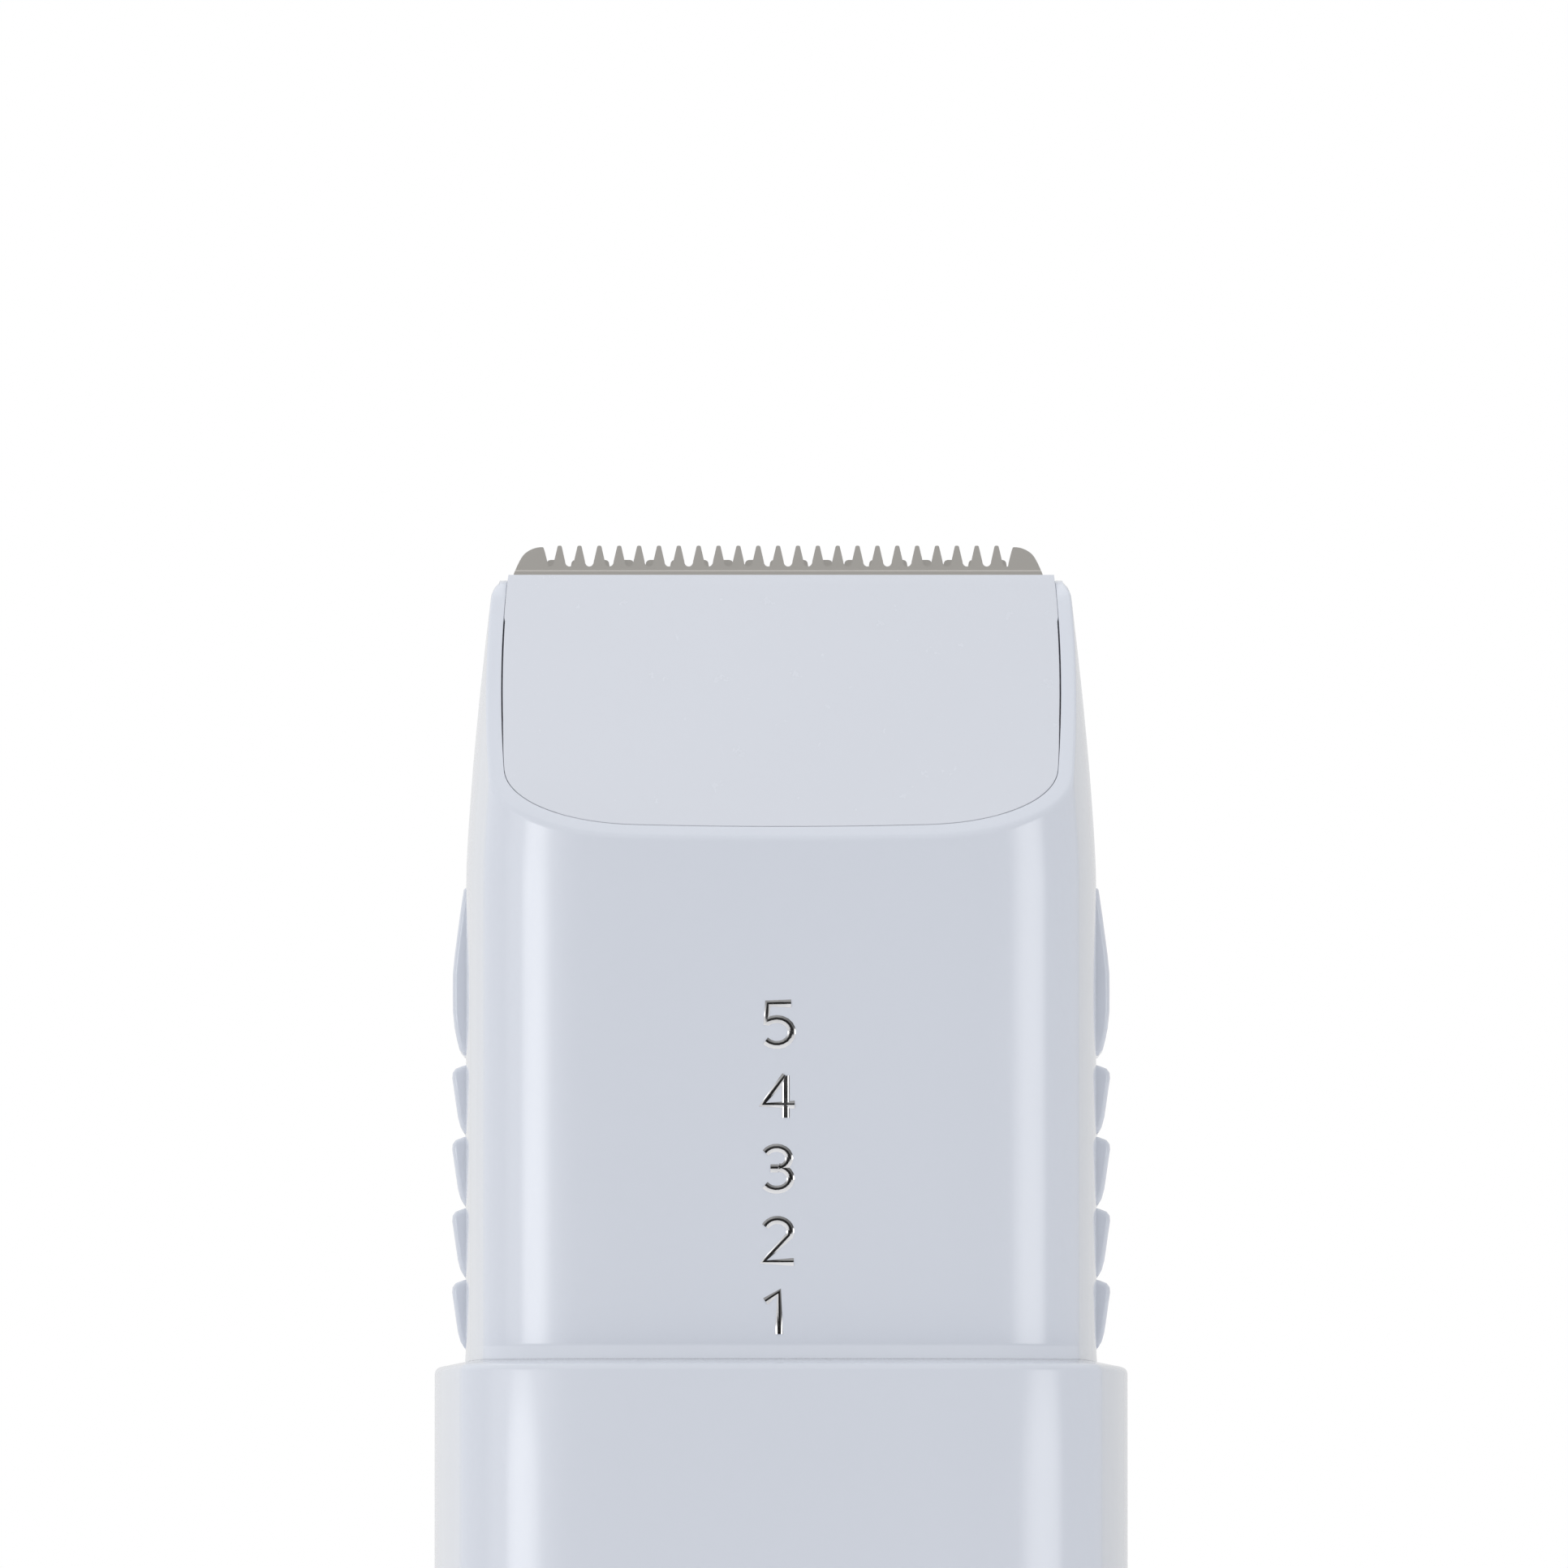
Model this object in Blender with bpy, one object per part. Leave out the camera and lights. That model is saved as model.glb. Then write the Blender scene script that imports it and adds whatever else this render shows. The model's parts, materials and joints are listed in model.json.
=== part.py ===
"""Battery hair clipper whose blade block swings open on its lower edge, at its real size.

Z runs up the clipper, the front with the comb settings faces -Y, and the origin is the middle of the flat base.
"""

import math

import bpy
from mathutils import Matrix, Vector

MM = 0.001

# Clearances.
FIT = 0.3 * MM  # pieces that seat in or on each other
SLIP = 0.12 * MM  # faces that slide over each other
PRESS = 0.15 * MM  # a shaft in the pieces pressed on it
RUNNING = 0.06 * MM  # a shaft in its bearings

# Both housings.
PARTING_Y = -1.5 * MM  # the sides are widest from here back
DRAFT_POWER = 1.2
CORNER_FLATNESS = 0.306  # depth of the front corners as a share of their width
CORNER_FULLNESS = 2.2  # exponent of the front corners' curve, 2 being an ellipse

# Outer grip sleeve.
GRIP_WIDTH = 38.7 * MM
GRIP_DEPTH = 30.6 * MM
GRIP_CORNER = 6.8 * MM
GRIP_FRONT_CORNER = 9.4 * MM
GRIP_CROWN = 0.4 * MM  # how far the front and back bulge in the middle
GRIP_DRAFT = 1.75 * MM
GRIP_WALL = 1.8 * MM
GRIP_LIFT = 1.0 * MM  # sleeve's lower rim above the base plane
GRIP_FOOT_ROUND = 1.0 * MM
LEDGE_ROUND = 0.45 * MM
LEDGE_RISE = 0.24 * MM
LEDGE_PLATE = 2.2 * MM
LEDGE_SIDE = 1.75 * MM  # ledge left beside the neck
LEDGE_FRONT = 2.1 * MM  # ledge left in front of and behind the neck

# Head shell, with a mouth cut at a slope for the blade block.
NECK_CORNER = 6.1 * MM
NECK_FRONT_CORNER = 8.75 * MM
NECK_CROWN = 0.3 * MM
NECK_DRAFT = 1.43 * MM  # how much each side draws in from the parting line to the front
NECK_FOOT_ROUND = 0.7 * MM
NECK_FRONT_HEIGHT = 28.9 * MM  # ledge to the lowest point of the mouth
HEAD_WALL = 1.7 * MM
HEAD_TAPER = 1.5 * MM  # how much each side draws in towards the top
HEAD_TAPER_POWER = 1.4
BACK_LEAN = 8.0 * MM  # how far the back comes forward at the top
BACK_LEAN_POWER = 1.8
BACK_LEAN_START = 12.0 * MM  # above the ledge
TOP_ROUND = 1.3 * MM
MOUTH_SLOPE = math.radians(38.0)  # from upright
MOUTH_BLEND = 1.0 * MM
RIM_WIDTH = 0.8 * MM  # beside the panel
RIM_FOOT = 0.45 * MM  # below the panel, measured front to back
RIM_DEPTH = 1.8 * MM
SKIRT_LENGTH = 12.0 * MM
SKIRT_INSET = 2.0 * MM
SKIRT_WALL = 1.4 * MM

# Detent rack on each side of the neck: one long ramp above four ratchet teeth.
RACK_PITCH = 4.0 * MM
RACK_TEETH = 4
RACK_HEIGHT = 0.85 * MM
RACK_RAMP_LENGTH = 9.5 * MM
RACK_FRONT = 0.2 * MM
RACK_BACK = 6.8 * MM
RACK_FIRST_Z = 0.8 * MM  # lowest tooth's foot above the ledge

# Blade block.
PANEL_LENGTH = 18.2 * MM
PANEL_SKIN = 0.5 * MM
PANEL_PLATE = 1.4 * MM
PANEL_GAP = 0.2 * MM
FIXED_THICKNESS = 0.6 * MM
FIXED_LENGTH = 9.0 * MM  # under the panel
FIXED_REACH = 2.64 * MM  # tooth tips beyond the panel
FIXED_PITCH = 1.112 * MM
FIXED_TOOTH_LENGTH = 1.5 * MM
FIXED_TIP = 0.2 * MM
FIXED_ROOT = 0.8 * MM
WING_WIDTH = 1.85 * MM
WING_SET_IN = 0.05 * MM  # blade narrower than the panel, each side
CUTTER_THICKNESS = 0.5 * MM
CUTTER_REACH = 2.18 * MM
CUTTER_LENGTH = 5.0 * MM
CUTTER_PITCH = 1.39 * MM
CUTTER_TOOTH_LENGTH = 1.2 * MM
CUTTER_TIP = 0.66 * MM
CUTTER_ROOT = 0.86 * MM
STROKE = 0.8 * MM  # each way from the middle, and the eccentric's throw
PARK_ANGLE = math.radians(19.3)  # where the eccentric stopped
CARRIER_PLATE = 1.4 * MM
CARRIER_HALF_WIDTH = 6.0 * MM
CARRIER_LENGTH = 8.0 * MM
CARRIER_SET_BACK = 1.5 * MM
FORK_WALL = 1.4 * MM
FORK_REACH = 2.6 * MM  # behind the motor's axis
FORK_FRONT = 3.2 * MM  # in front of the motor's axis
FRAME_BAR = 1.4 * MM
FRAME_HEIGHT = 3.2 * MM
ARM_THICKNESS = 1.6 * MM
HOOK_LENGTH = 3.1 * MM
SPRING_WIRE = 0.7 * MM

# Motor and drive.
MOTOR_RADIUS = 10.05 * MM
MOTOR_HALF_FLAT = 7.55 * MM
MOTOR_LENGTH = 25.0 * MM
MOTOR_LIFT = 2.8 * MM  # motor's foot above the skirt's
CAN_WALL = 0.7 * MM
SHAFT_RADIUS = 1.0 * MM
BUSHING_RADIUS = 3.0 * MM
BUSHING_LENGTH = 2.6 * MM
ARMATURE_RADIUS = 6.3 * MM
ARMATURE_LENGTH = 13.0 * MM
COMMUTATOR_RADIUS = 2.7 * MM
COMMUTATOR_LENGTH = 3.0 * MM
MAGNET_WALL = 2.0 * MM
MAGNET_HALF_ANGLE = math.radians(42.0)
END_BELL_PLATE = 1.2 * MM
CAM_RADIUS = 3.4 * MM
CAM_HEIGHT = 3.8 * MM
PIN_RADIUS = 0.8 * MM
CUP_WALL = 1.0 * MM

# Cells and contacts.
CELL_RADIUS = 7.15 * MM
CELL_LENGTH = 50.5 * MM
NUB_RADIUS = 2.75 * MM
NUB_HEIGHT = 1.3 * MM
CELL_SPRING_LENGTH = 3.0 * MM
CELL_SPRING_WIRE = 0.7 * MM
CELL_SPRING_TURNS = 2.5
CONTACT_SHEET = 0.4 * MM
CONTACT_HALF = 5.0 * MM

# Chassis and base.
CAP_THICKNESS = 2.4 * MM
CAP_FLANGE = 0.8 * MM
CAP_FLANGE_INSET = 1.2 * MM
PLATE = 1.4 * MM
SPINE_FRONT = -5.6 * MM
SWITCH_BAY = 28.9 * MM
SCREW_RADIUS = 1.0 * MM
SCREW_HEAD_RADIUS = 1.6 * MM
SCREW_HEAD_HEIGHT = 1.0 * MM
NECK_SCREW_LENGTH = 7.0 * MM
BASE_SCREW_LENGTH = 6.0 * MM
SEAL_THICKNESS = 1.5 * MM

# Cell door, in the back of the sleeve.
DOOR_HALF_WIDTH = 12.6 * MM
DOOR_HEIGHT = 65.0 * MM
DOOR_CORNER = 3.0 * MM
TONGUE_OUT = 1.4 * MM
TONGUE_THICKNESS = 1.0 * MM
DOOR_RIBS = 5
DOOR_RIB_PITCH = 2.2 * MM
DOOR_RIB_HEIGHT = 0.4 * MM

# Power slider, in a pocket in the front of the sleeve.
SLIDER_HALF_WIDTH = 4.4 * MM
SLIDER_LENGTH = 11.0 * MM
SLIDER_PROUD = 0.8 * MM
SLIDER_TRAVEL = 4.0 * MM
SLIDER_RIBS = 5
POCKET_DEPTH = 0.9 * MM
STEM_HALF_WIDTH = 1.6 * MM
STEM_LENGTH = 4.0 * MM
SWITCH_HALF_WIDTH = 4.3 * MM
SWITCH_DEPTH = 2.3 * MM
BOARD_THICKNESS = 1.2 * MM

# Heights that follow from what is stacked below them.
CHASSIS_Z = CAP_THICKNESS + FIT
BAY_FLOOR_Z = CHASSIS_Z + PLATE
CONTACT_STACK = 2 * FIT + CONTACT_SHEET
BAY_ROOF_Z = BAY_FLOOR_Z + 2 * CONTACT_STACK + CELL_LENGTH + FIT + CELL_SPRING_LENGTH
ROOF_TOP_Z = BAY_ROOF_Z + PLATE
SKIRT_Z = ROOF_TOP_Z + SWITCH_BAY
LEDGE_Z = SKIRT_Z + SKIRT_LENGTH
NECK_Z = LEDGE_Z + SLIP
MOTOR_Z = SKIRT_Z + MOTOR_LIFT
MOTOR_TOP_Z = MOTOR_Z + MOTOR_LENGTH
CAM_Z = MOTOR_TOP_Z + BUSHING_LENGTH - CAN_WALL
CAM_TOP_Z = CAM_Z + CAM_HEIGHT
MOUTH_Z = LEDGE_Z + NECK_FRONT_HEIGHT
SLIDER_Z = ROOF_TOP_Z + 0.35 * SWITCH_BAY

# The neck follows from the sleeve and its ledge.
NECK_HALF_WIDTH = GRIP_WIDTH / 2 - LEDGE_SIDE
NECK_HALF_DEPTH = GRIP_DEPTH / 2 - LEDGE_FRONT

# The block's own frame: u runs up the slope and n points out of it, both in the YZ plane. It starts
# at the middle of the panel's top edge, which is one panel length and the rim above the mouth's foot.
SLOPE_U = Vector((0, math.sin(MOUTH_SLOPE), math.cos(MOUTH_SLOPE)))
SLOPE_N = Vector((0, -math.cos(MOUTH_SLOPE), math.sin(MOUTH_SLOPE)))
MOUTH_FOOT = Vector((0, -NECK_HALF_DEPTH, MOUTH_Z))
PANEL_TOP = MOUTH_FOOT + SLOPE_U * (PANEL_LENGTH + (RIM_FOOT + PANEL_GAP) / math.sin(MOUTH_SLOPE))
HEAD_TOP_Z = PANEL_TOP.z - 0.3 * MM
HINGE_POINT = PANEL_TOP - SLOPE_U * PANEL_LENGTH

CORNER_STEPS = 8
FRONT_STEPS = 6
SIDE_STEPS = 6


# ---------------------------------------------------------------- helpers


def clear_scene():
    for obj in list(bpy.data.objects):
        bpy.data.objects.remove(obj, do_unlink=True)


def material(name, color, roughness, metallic=0.0):
    made = bpy.data.materials.new(name)
    made.use_nodes = True
    shader = made.node_tree.nodes["Principled BSDF"]
    shader.inputs["Base Color"].default_value = (*color, 1.0)
    shader.inputs["Roughness"].default_value = roughness
    shader.inputs["Metallic"].default_value = metallic
    return made


def mesh_object(name, points, faces, finish):
    mesh = bpy.data.meshes.new(name)
    mesh.from_pydata([tuple(p) for p in points], [], faces)
    mesh.materials.append(finish)
    mesh.shade_smooth()
    mesh.set_sharp_from_angle(angle=math.radians(32))
    obj = bpy.data.objects.new(name, mesh)
    bpy.context.scene.collection.objects.link(obj)
    return obj


def loft(name, rings, finish, endless=False):
    """Skins rings of equal point counts. Each ring turns counter-clockwise seen from where the loft goes."""
    count = len(rings[0])
    points = [p for ring in rings for p in ring]
    faces = []
    pairs = len(rings) if endless else len(rings) - 1
    for row in range(pairs):
        low, high = row * count, (row + 1) % len(rings) * count
        for i in range(count):
            j = (i + 1) % count
            faces.append((low + i, low + j, high + j, high + i))
    if not endless:
        faces.append(tuple(range(count))[::-1])
        faces.append(tuple(range((len(rings) - 1) * count, len(rings) * count)))
    return mesh_object(name, points, faces, finish)


def upright_prism(name, outline, low, high, finish):
    """An outline in X and Y, counter-clockwise, between two heights."""
    return loft(name, [[(x, y, z) for x, y in outline] for z in (low, high)], finish)


def facing_prism(name, outline, front, back, finish):
    """An outline in X and Z, counter-clockwise seen from the front, from its back to its front."""
    return loft(name, [[(x, y, z) for x, z in outline] for y in (back, front)], finish)


def side_prism(name, outline, left, right, finish):
    """An outline in Y and Z, counter-clockwise seen from +X, from left to right."""
    return loft(name, [[(x, y, z) for y, z in outline] for x in (left, right)], finish)


def box(name, low, high, finish):
    (x0, y0, z0), (x1, y1, z1) = low, high
    return upright_prism(name, [(x0, y0), (x1, y0), (x1, y1), (x0, y1)], z0, z1, finish)


def turned(name, profile, centre, finish, segments=32):
    """A profile of (radius, height) pairs turned about an upright axis, going up its outer side."""
    rings = []
    for radius, height in profile:
        angles = [2 * math.pi * i / segments for i in range(segments)]
        rings.append(
            [(centre[0] + radius * math.cos(a), centre[1] + radius * math.sin(a), height) for a in angles]
        )
    return loft(name, rings, finish, endless=profile[0][0] > profile[-1][0] > 0 and len(profile) > 3)


def tube(name, inner, outer, low, high, centre, finish, segments=32):
    return turned(
        name, [(outer, low), (outer, high), (inner, high), (inner, low)], centre, finish, segments
    )


def rounded_outline(left, right, low, high, radius, steps=5):
    """A rounded rectangle, counter-clockwise."""
    points = []
    corners = (
        (right - radius, low + radius),
        (right - radius, high - radius),
        (left + radius, high - radius),
        (left + radius, low + radius),
    )
    for number, (x, y) in enumerate(corners):
        for step in range(steps + 1):
            angle = math.radians(90 * (number - 1) + 90 * step / steps)
            points.append((x + radius * math.cos(angle), y + radius * math.sin(angle)))
    return points


def combine(target, other, operation):
    """Applies a Boolean with another object, which is used up."""
    modifier = target.modifiers.new(operation.title(), "BOOLEAN")
    modifier.operation = operation
    modifier.object = other
    graph = bpy.context.evaluated_depsgraph_get()
    made = bpy.data.meshes.new_from_object(target.evaluated_get(graph))
    target.modifiers.remove(modifier)
    made.name = target.data.name
    target.data = made
    bpy.data.objects.remove(other, do_unlink=True)
    target.data.set_sharp_from_angle(angle=math.radians(32))
    return target


def cut(target, cutter):
    return combine(target, cutter, "DIFFERENCE")


def join(target, other):
    return combine(target, other, "UNION")


def on_axis(name, point, *pieces):
    """Parents moving pieces to an empty on their joint's axis, with their own origins there too."""
    pivot = bpy.data.objects.new(name, None)
    pivot.location = point
    bpy.context.scene.collection.objects.link(pivot)
    for piece in pieces:
        piece.data.transform(Matrix.Translation(-Vector(point)))
        piece.parent = pivot
    return pivot


def quarter_round(radius, steps=3):
    """(inset, rise) pairs along an edge's round, from its flat end to its upright end."""
    pairs = []
    for step in range(steps + 1):
        angle = math.radians(90 * step / steps)
        pairs.append((radius * (1 - math.sin(angle)), radius * (1 - math.cos(angle))))
    return pairs


# ---------------------------------------------------------------- sections of the housing


def section(half_width, front, back, corner, front_corner, crown, draft):
    """A rounded rectangle, counter-clockwise from the front's right corner.

    Its front and back bulge, its front corners are wider than they are deep, and its sides draw in from
    the parting line to the front.
    """
    middle = (front + back) / 2
    half_depth = (back - front) / 2
    near = (front_corner, front_corner * CORNER_FLATNESS, CORNER_FULLNESS)
    far = (corner, corner, 2.0)
    corners = []
    for number, (across, along, curve) in enumerate(((1, -1, near), (1, 1, far), (-1, 1, far), (-1, -1, near))):
        wide, deep, fullness = curve
        x, y = across * (half_width - wide), along * (half_depth - deep)
        arc = []
        for step in range(CORNER_STEPS + 1):
            angle = math.radians(90 * (number - 1) + 90 * step / CORNER_STEPS)
            out = abs(math.cos(angle)) ** (2 / fullness)
            off = abs(math.sin(angle)) ** (2 / fullness)
            arc.append((x + across * wide * out, y + along * deep * off))
        corners.append(arc)
    outline = []
    for number, arc in enumerate(corners):
        outline += arc
        (x0, y0), (x1, y1) = arc[-1], corners[(number + 1) % 4][0]
        steps = SIDE_STEPS if number % 2 == 0 else FRONT_STEPS
        outline += [(x0 + (x1 - x0) * step / steps, y0 + (y1 - y0) * step / steps) for step in range(1, steps)]
    points = []
    for x, y in outline:
        y = middle + y * (1 - crown / half_depth * (x / half_width) ** 2)
        forward = max(PARTING_Y - y, 0.0) / (PARTING_Y - front)
        points.append((x * (1 - draft / half_width * forward**DRAFT_POWER), y))
    return points


def grip_section(inset=0.0):
    corner, front_corner = (max(size - inset, 0.6 * MM) for size in (GRIP_CORNER, GRIP_FRONT_CORNER))
    half_depth = GRIP_DEPTH / 2 - inset
    return section(GRIP_WIDTH / 2 - inset, -half_depth, half_depth, corner, front_corner, GRIP_CROWN, GRIP_DRAFT)


def neck_half_width(z):
    share = max(0.0, (z - MOUTH_Z + 2 * MM) / (HEAD_TOP_Z - MOUTH_Z + 2 * MM))
    return NECK_HALF_WIDTH - HEAD_TAPER * share**HEAD_TAPER_POWER


def neck_back(z):
    start = LEDGE_Z + BACK_LEAN_START
    share = max(0.0, (z - start) / (HEAD_TOP_Z - start))
    return NECK_HALF_DEPTH - BACK_LEAN * share**BACK_LEAN_POWER


def top_round(z):
    """How far the outside draws in where it rounds over towards the flat top."""
    above = min(max(0.0, z - (HEAD_TOP_Z - 0.8 * TOP_ROUND)), 0.8 * TOP_ROUND)
    return TOP_ROUND - math.sqrt(TOP_ROUND**2 - above**2)


def neck_section(z, inset=0.0, front_inset=None):
    half_width = neck_half_width(z) - inset
    front = -NECK_HALF_DEPTH + (inset if front_inset is None else front_inset)
    corner, front_corner = (max(size - inset, 0.6 * MM) for size in (NECK_CORNER, NECK_FRONT_CORNER))
    return section(half_width, front, neck_back(z) - inset, corner, front_corner, NECK_CROWN, NECK_DRAFT)


def mouth_height(column, inset, depth, front_inset=None):
    """Where a column of the neck's section meets the mouth's slope, taken in by a depth."""
    low, high = LEDGE_Z, HEAD_TOP_Z + PANEL_LENGTH
    for _ in range(40):
        z = (low + high) / 2
        slope_y = MOUTH_FOOT.y + (z - MOUTH_Z) * math.tan(MOUTH_SLOPE) + depth / math.cos(MOUTH_SLOPE)
        if neck_section(z, inset, front_inset)[column][1] > slope_y:
            low = z
        else:
            high = z
    return low


def mouth_heights(inset, depth, front_inset=None):
    """Each column's end: on the slope at the front and sides, level at the back, blended between them."""
    top = HEAD_TOP_Z - 0.5 * depth
    ends = []
    for column in range(len(neck_section(LEDGE_Z))):
        sloped = mouth_height(column, inset, depth, front_inset)
        overlap = max(MOUTH_BLEND - abs(sloped - top), 0.0)
        ends.append(min(sloped, top) - overlap**2 / (4 * MOUTH_BLEND))
    return ends


def neck_ring(heights, inset, rounded=False, front_inset=None):
    """A ring of the neck whose columns each end at their own height."""
    points = []
    for column, z in enumerate(heights):
        x, y = neck_section(z, inset + (top_round(z) if rounded else 0.0), front_inset)[column]
        points.append((x, y, z))
    return points


# ---------------------------------------------------------------- head shell


def head_shell(finish):
    outer, rim = mouth_heights(0.0, 0.0), mouth_heights(RIM_WIDTH, 0.0, RIM_FOOT)
    rim_foot = mouth_heights(RIM_WIDTH, RIM_DEPTH, RIM_FOOT)
    inner = mouth_heights(HEAD_WALL, RIM_DEPTH)
    columns = len(outer)
    start = MOUTH_Z - PANEL_LENGTH / 2
    rings = [neck_ring([SKIRT_Z] * columns, SKIRT_INSET), neck_ring([NECK_Z] * columns, SKIRT_INSET)]
    for inset, rise in quarter_round(NECK_FOOT_ROUND):
        rings.append(neck_ring([NECK_Z + rise] * columns, inset))
    for share in (0.0, 0.3, 0.55, 0.75, 0.9, 0.96, 1.0):
        rings.append(neck_ring([start + share * (end - start) for end in outer], 0.0, rounded=True))
    rings.append(neck_ring(rim, RIM_WIDTH, front_inset=RIM_FOOT))
    rings.append(neck_ring(rim_foot, RIM_WIDTH, front_inset=RIM_FOOT))
    for share in (1.0, 0.75, 0.5, 0.25, 0.0):
        rings.append(neck_ring([start + share * (end - start) for end in inner], HEAD_WALL))
    skirt_inner = SKIRT_INSET + SKIRT_WALL
    rings.append(neck_ring([NECK_Z + 2 * HEAD_WALL] * columns, HEAD_WALL))
    rings.append(neck_ring([NECK_Z + HEAD_WALL] * columns, skirt_inner))
    rings.append(neck_ring([SKIRT_Z] * columns, skirt_inner))
    shell = loft("head_shell", rings, finish, endless=True)
    for side in (-1, 1):
        join(shell, detent_rack(side, finish))
        join(shell, screw_post(side, finish))
        x = side * neck_screw_x()
        hole = disc(SCREW_RADIUS + SLIP, NECK_Z, post_foot_z() + NECK_SCREW_LENGTH)
        cut(shell, turned("hole", hole, (x, 0), finish, 16))
    return shell


def disc(radius, low, high):
    return [(radius, low), (radius, high)]


def detent_rack(side, finish):
    """Ratchet teeth that hold a slide-on comb, rising from a strip sunk in the neck's side wall."""
    sunk = NECK_HALF_WIDTH - 0.6 * HEAD_WALL
    face = NECK_HALF_WIDTH + 0.02 * MM
    crest = NECK_HALF_WIDTH + RACK_HEIGHT
    foot = LEDGE_Z + RACK_FIRST_Z
    outline = [(sunk, foot)]
    for tooth in range(RACK_TEETH):
        z = foot + tooth * RACK_PITCH
        outline += [
            (face, z),
            (crest - 0.45 * MM, z + 0.55 * MM),
            (crest - 0.05 * MM, z + 3.0 * MM),
            (crest - 0.35 * MM, z + 3.45 * MM),
            (face, z + 3.7 * MM),
        ]
    ramp = foot + (RACK_TEETH + 0.1) * RACK_PITCH
    outline += [
        (face, ramp),
        (crest - 0.4 * MM, ramp + 0.5 * MM),
        (crest - 0.08 * MM, ramp + 0.25 * RACK_RAMP_LENGTH),
        (crest - 0.08 * MM, ramp + 0.5 * RACK_RAMP_LENGTH),
        (crest - 0.4 * MM, ramp + 0.8 * RACK_RAMP_LENGTH),
        (face, ramp + RACK_RAMP_LENGTH),
        (sunk, ramp + RACK_RAMP_LENGTH),
    ]
    outline = [(side * x, z) for x, z in outline]
    if side < 0:
        outline.reverse()
    return facing_prism("rack", outline, RACK_FRONT, RACK_BACK, finish)


def neck_screw_x():
    return NECK_HALF_WIDTH - SKIRT_INSET - SKIRT_WALL - SCREW_HEAD_RADIUS - FIT / 2


def post_foot_z():
    return NECK_Z + HEAD_WALL


def screw_post(side, finish):
    inner = neck_screw_x() - SCREW_RADIUS - 0.7 * MM
    outer = NECK_HALF_WIDTH - 0.5 * HEAD_WALL
    x0, x1 = sorted((side * inner, side * outer))
    half = SCREW_RADIUS + 1.2 * MM
    top = post_foot_z() + NECK_SCREW_LENGTH + 1.2 * MM
    return box("post", (x0, -half, post_foot_z()), (x1, half, top), finish)


# ---------------------------------------------------------------- grip sleeve, door, base


def door_outline(grow):
    """The door's outline in X and Z, grown each way for its opening."""
    half = DOOR_HALF_WIDTH + grow
    return rounded_outline(
        -half, half, -DOOR_CORNER - 2 * DOOR_RIB_PITCH, GRIP_LIFT + DOOR_HEIGHT + grow, DOOR_CORNER + grow
    )


def pocket_span():
    """Lowest and highest point of the power slider's pocket."""
    return SLIDER_Z - SLIDER_LENGTH / 2 - FIT, SLIDER_Z + SLIDER_LENGTH / 2 + SLIDER_TRAVEL + FIT


def grip_outside():
    """The sleeve's outer rings, from its foot to the round of its ledge."""
    rings = []
    for inset, rise in quarter_round(GRIP_FOOT_ROUND):
        rings.append([(x, y, GRIP_LIFT + rise) for x, y in grip_section(inset)])
    edge = LEDGE_Z - LEDGE_RISE
    for inset, rise in reversed(quarter_round(LEDGE_ROUND)):
        rings.append([(x, y, edge - rise) for x, y in grip_section(inset)])
    return rings


def grip_sleeve(finish):
    columns = len(grip_section())
    rings = grip_outside()
    for z in (LEDGE_Z, LEDGE_Z - LEDGE_PLATE):
        opening = neck_ring([z] * columns, SKIRT_INSET - FIT)
        rings.append(opening)
    for z in (LEDGE_Z - LEDGE_PLATE, GRIP_LIFT):
        rings.append([(x, y, z) for x, y in grip_section(GRIP_WALL)])
    sleeve = loft("grip_sleeve", rings, finish, endless=True)
    cut(sleeve, facing_prism("opening", door_outline(FIT), 0.3 * GRIP_DEPTH, GRIP_DEPTH, finish))
    low, high = pocket_span()
    half = SLIDER_HALF_WIDTH + FIT
    face = -GRIP_DEPTH / 2
    pocket = rounded_outline(-half, half, low, high, 2 * MM)
    cut(sleeve, facing_prism("pocket", pocket, 1.5 * face, face + POCKET_DEPTH, finish))
    slot = rounded_outline(
        -STEM_HALF_WIDTH - FIT,
        STEM_HALF_WIDTH + FIT,
        SLIDER_Z - STEM_LENGTH / 2 - FIT,
        SLIDER_Z + STEM_LENGTH / 2 + SLIDER_TRAVEL + FIT,
        FIT,
    )
    cut(sleeve, facing_prism("slot", slot, 1.5 * face, face + 2 * GRIP_WALL, finish))
    return sleeve


def inner_back(x):
    """How far back the sleeve's inner face is at a distance across."""
    arc = sorted(point for point in grip_section(GRIP_WALL) if point[1] > GRIP_DEPTH / 4)
    for (x0, y0), (x1, y1) in zip(arc, arc[1:]):
        if x0 <= x <= x1:
            return y0 + (y1 - y0) * (x - x0) / (x1 - x0)
    return arc[-1][1]


def door_tongue_back():
    """How far back the door's tongues reach behind the sleeve's wall."""
    return inner_back(DOOR_HALF_WIDTH + TONGUE_OUT) - FIT


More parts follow.
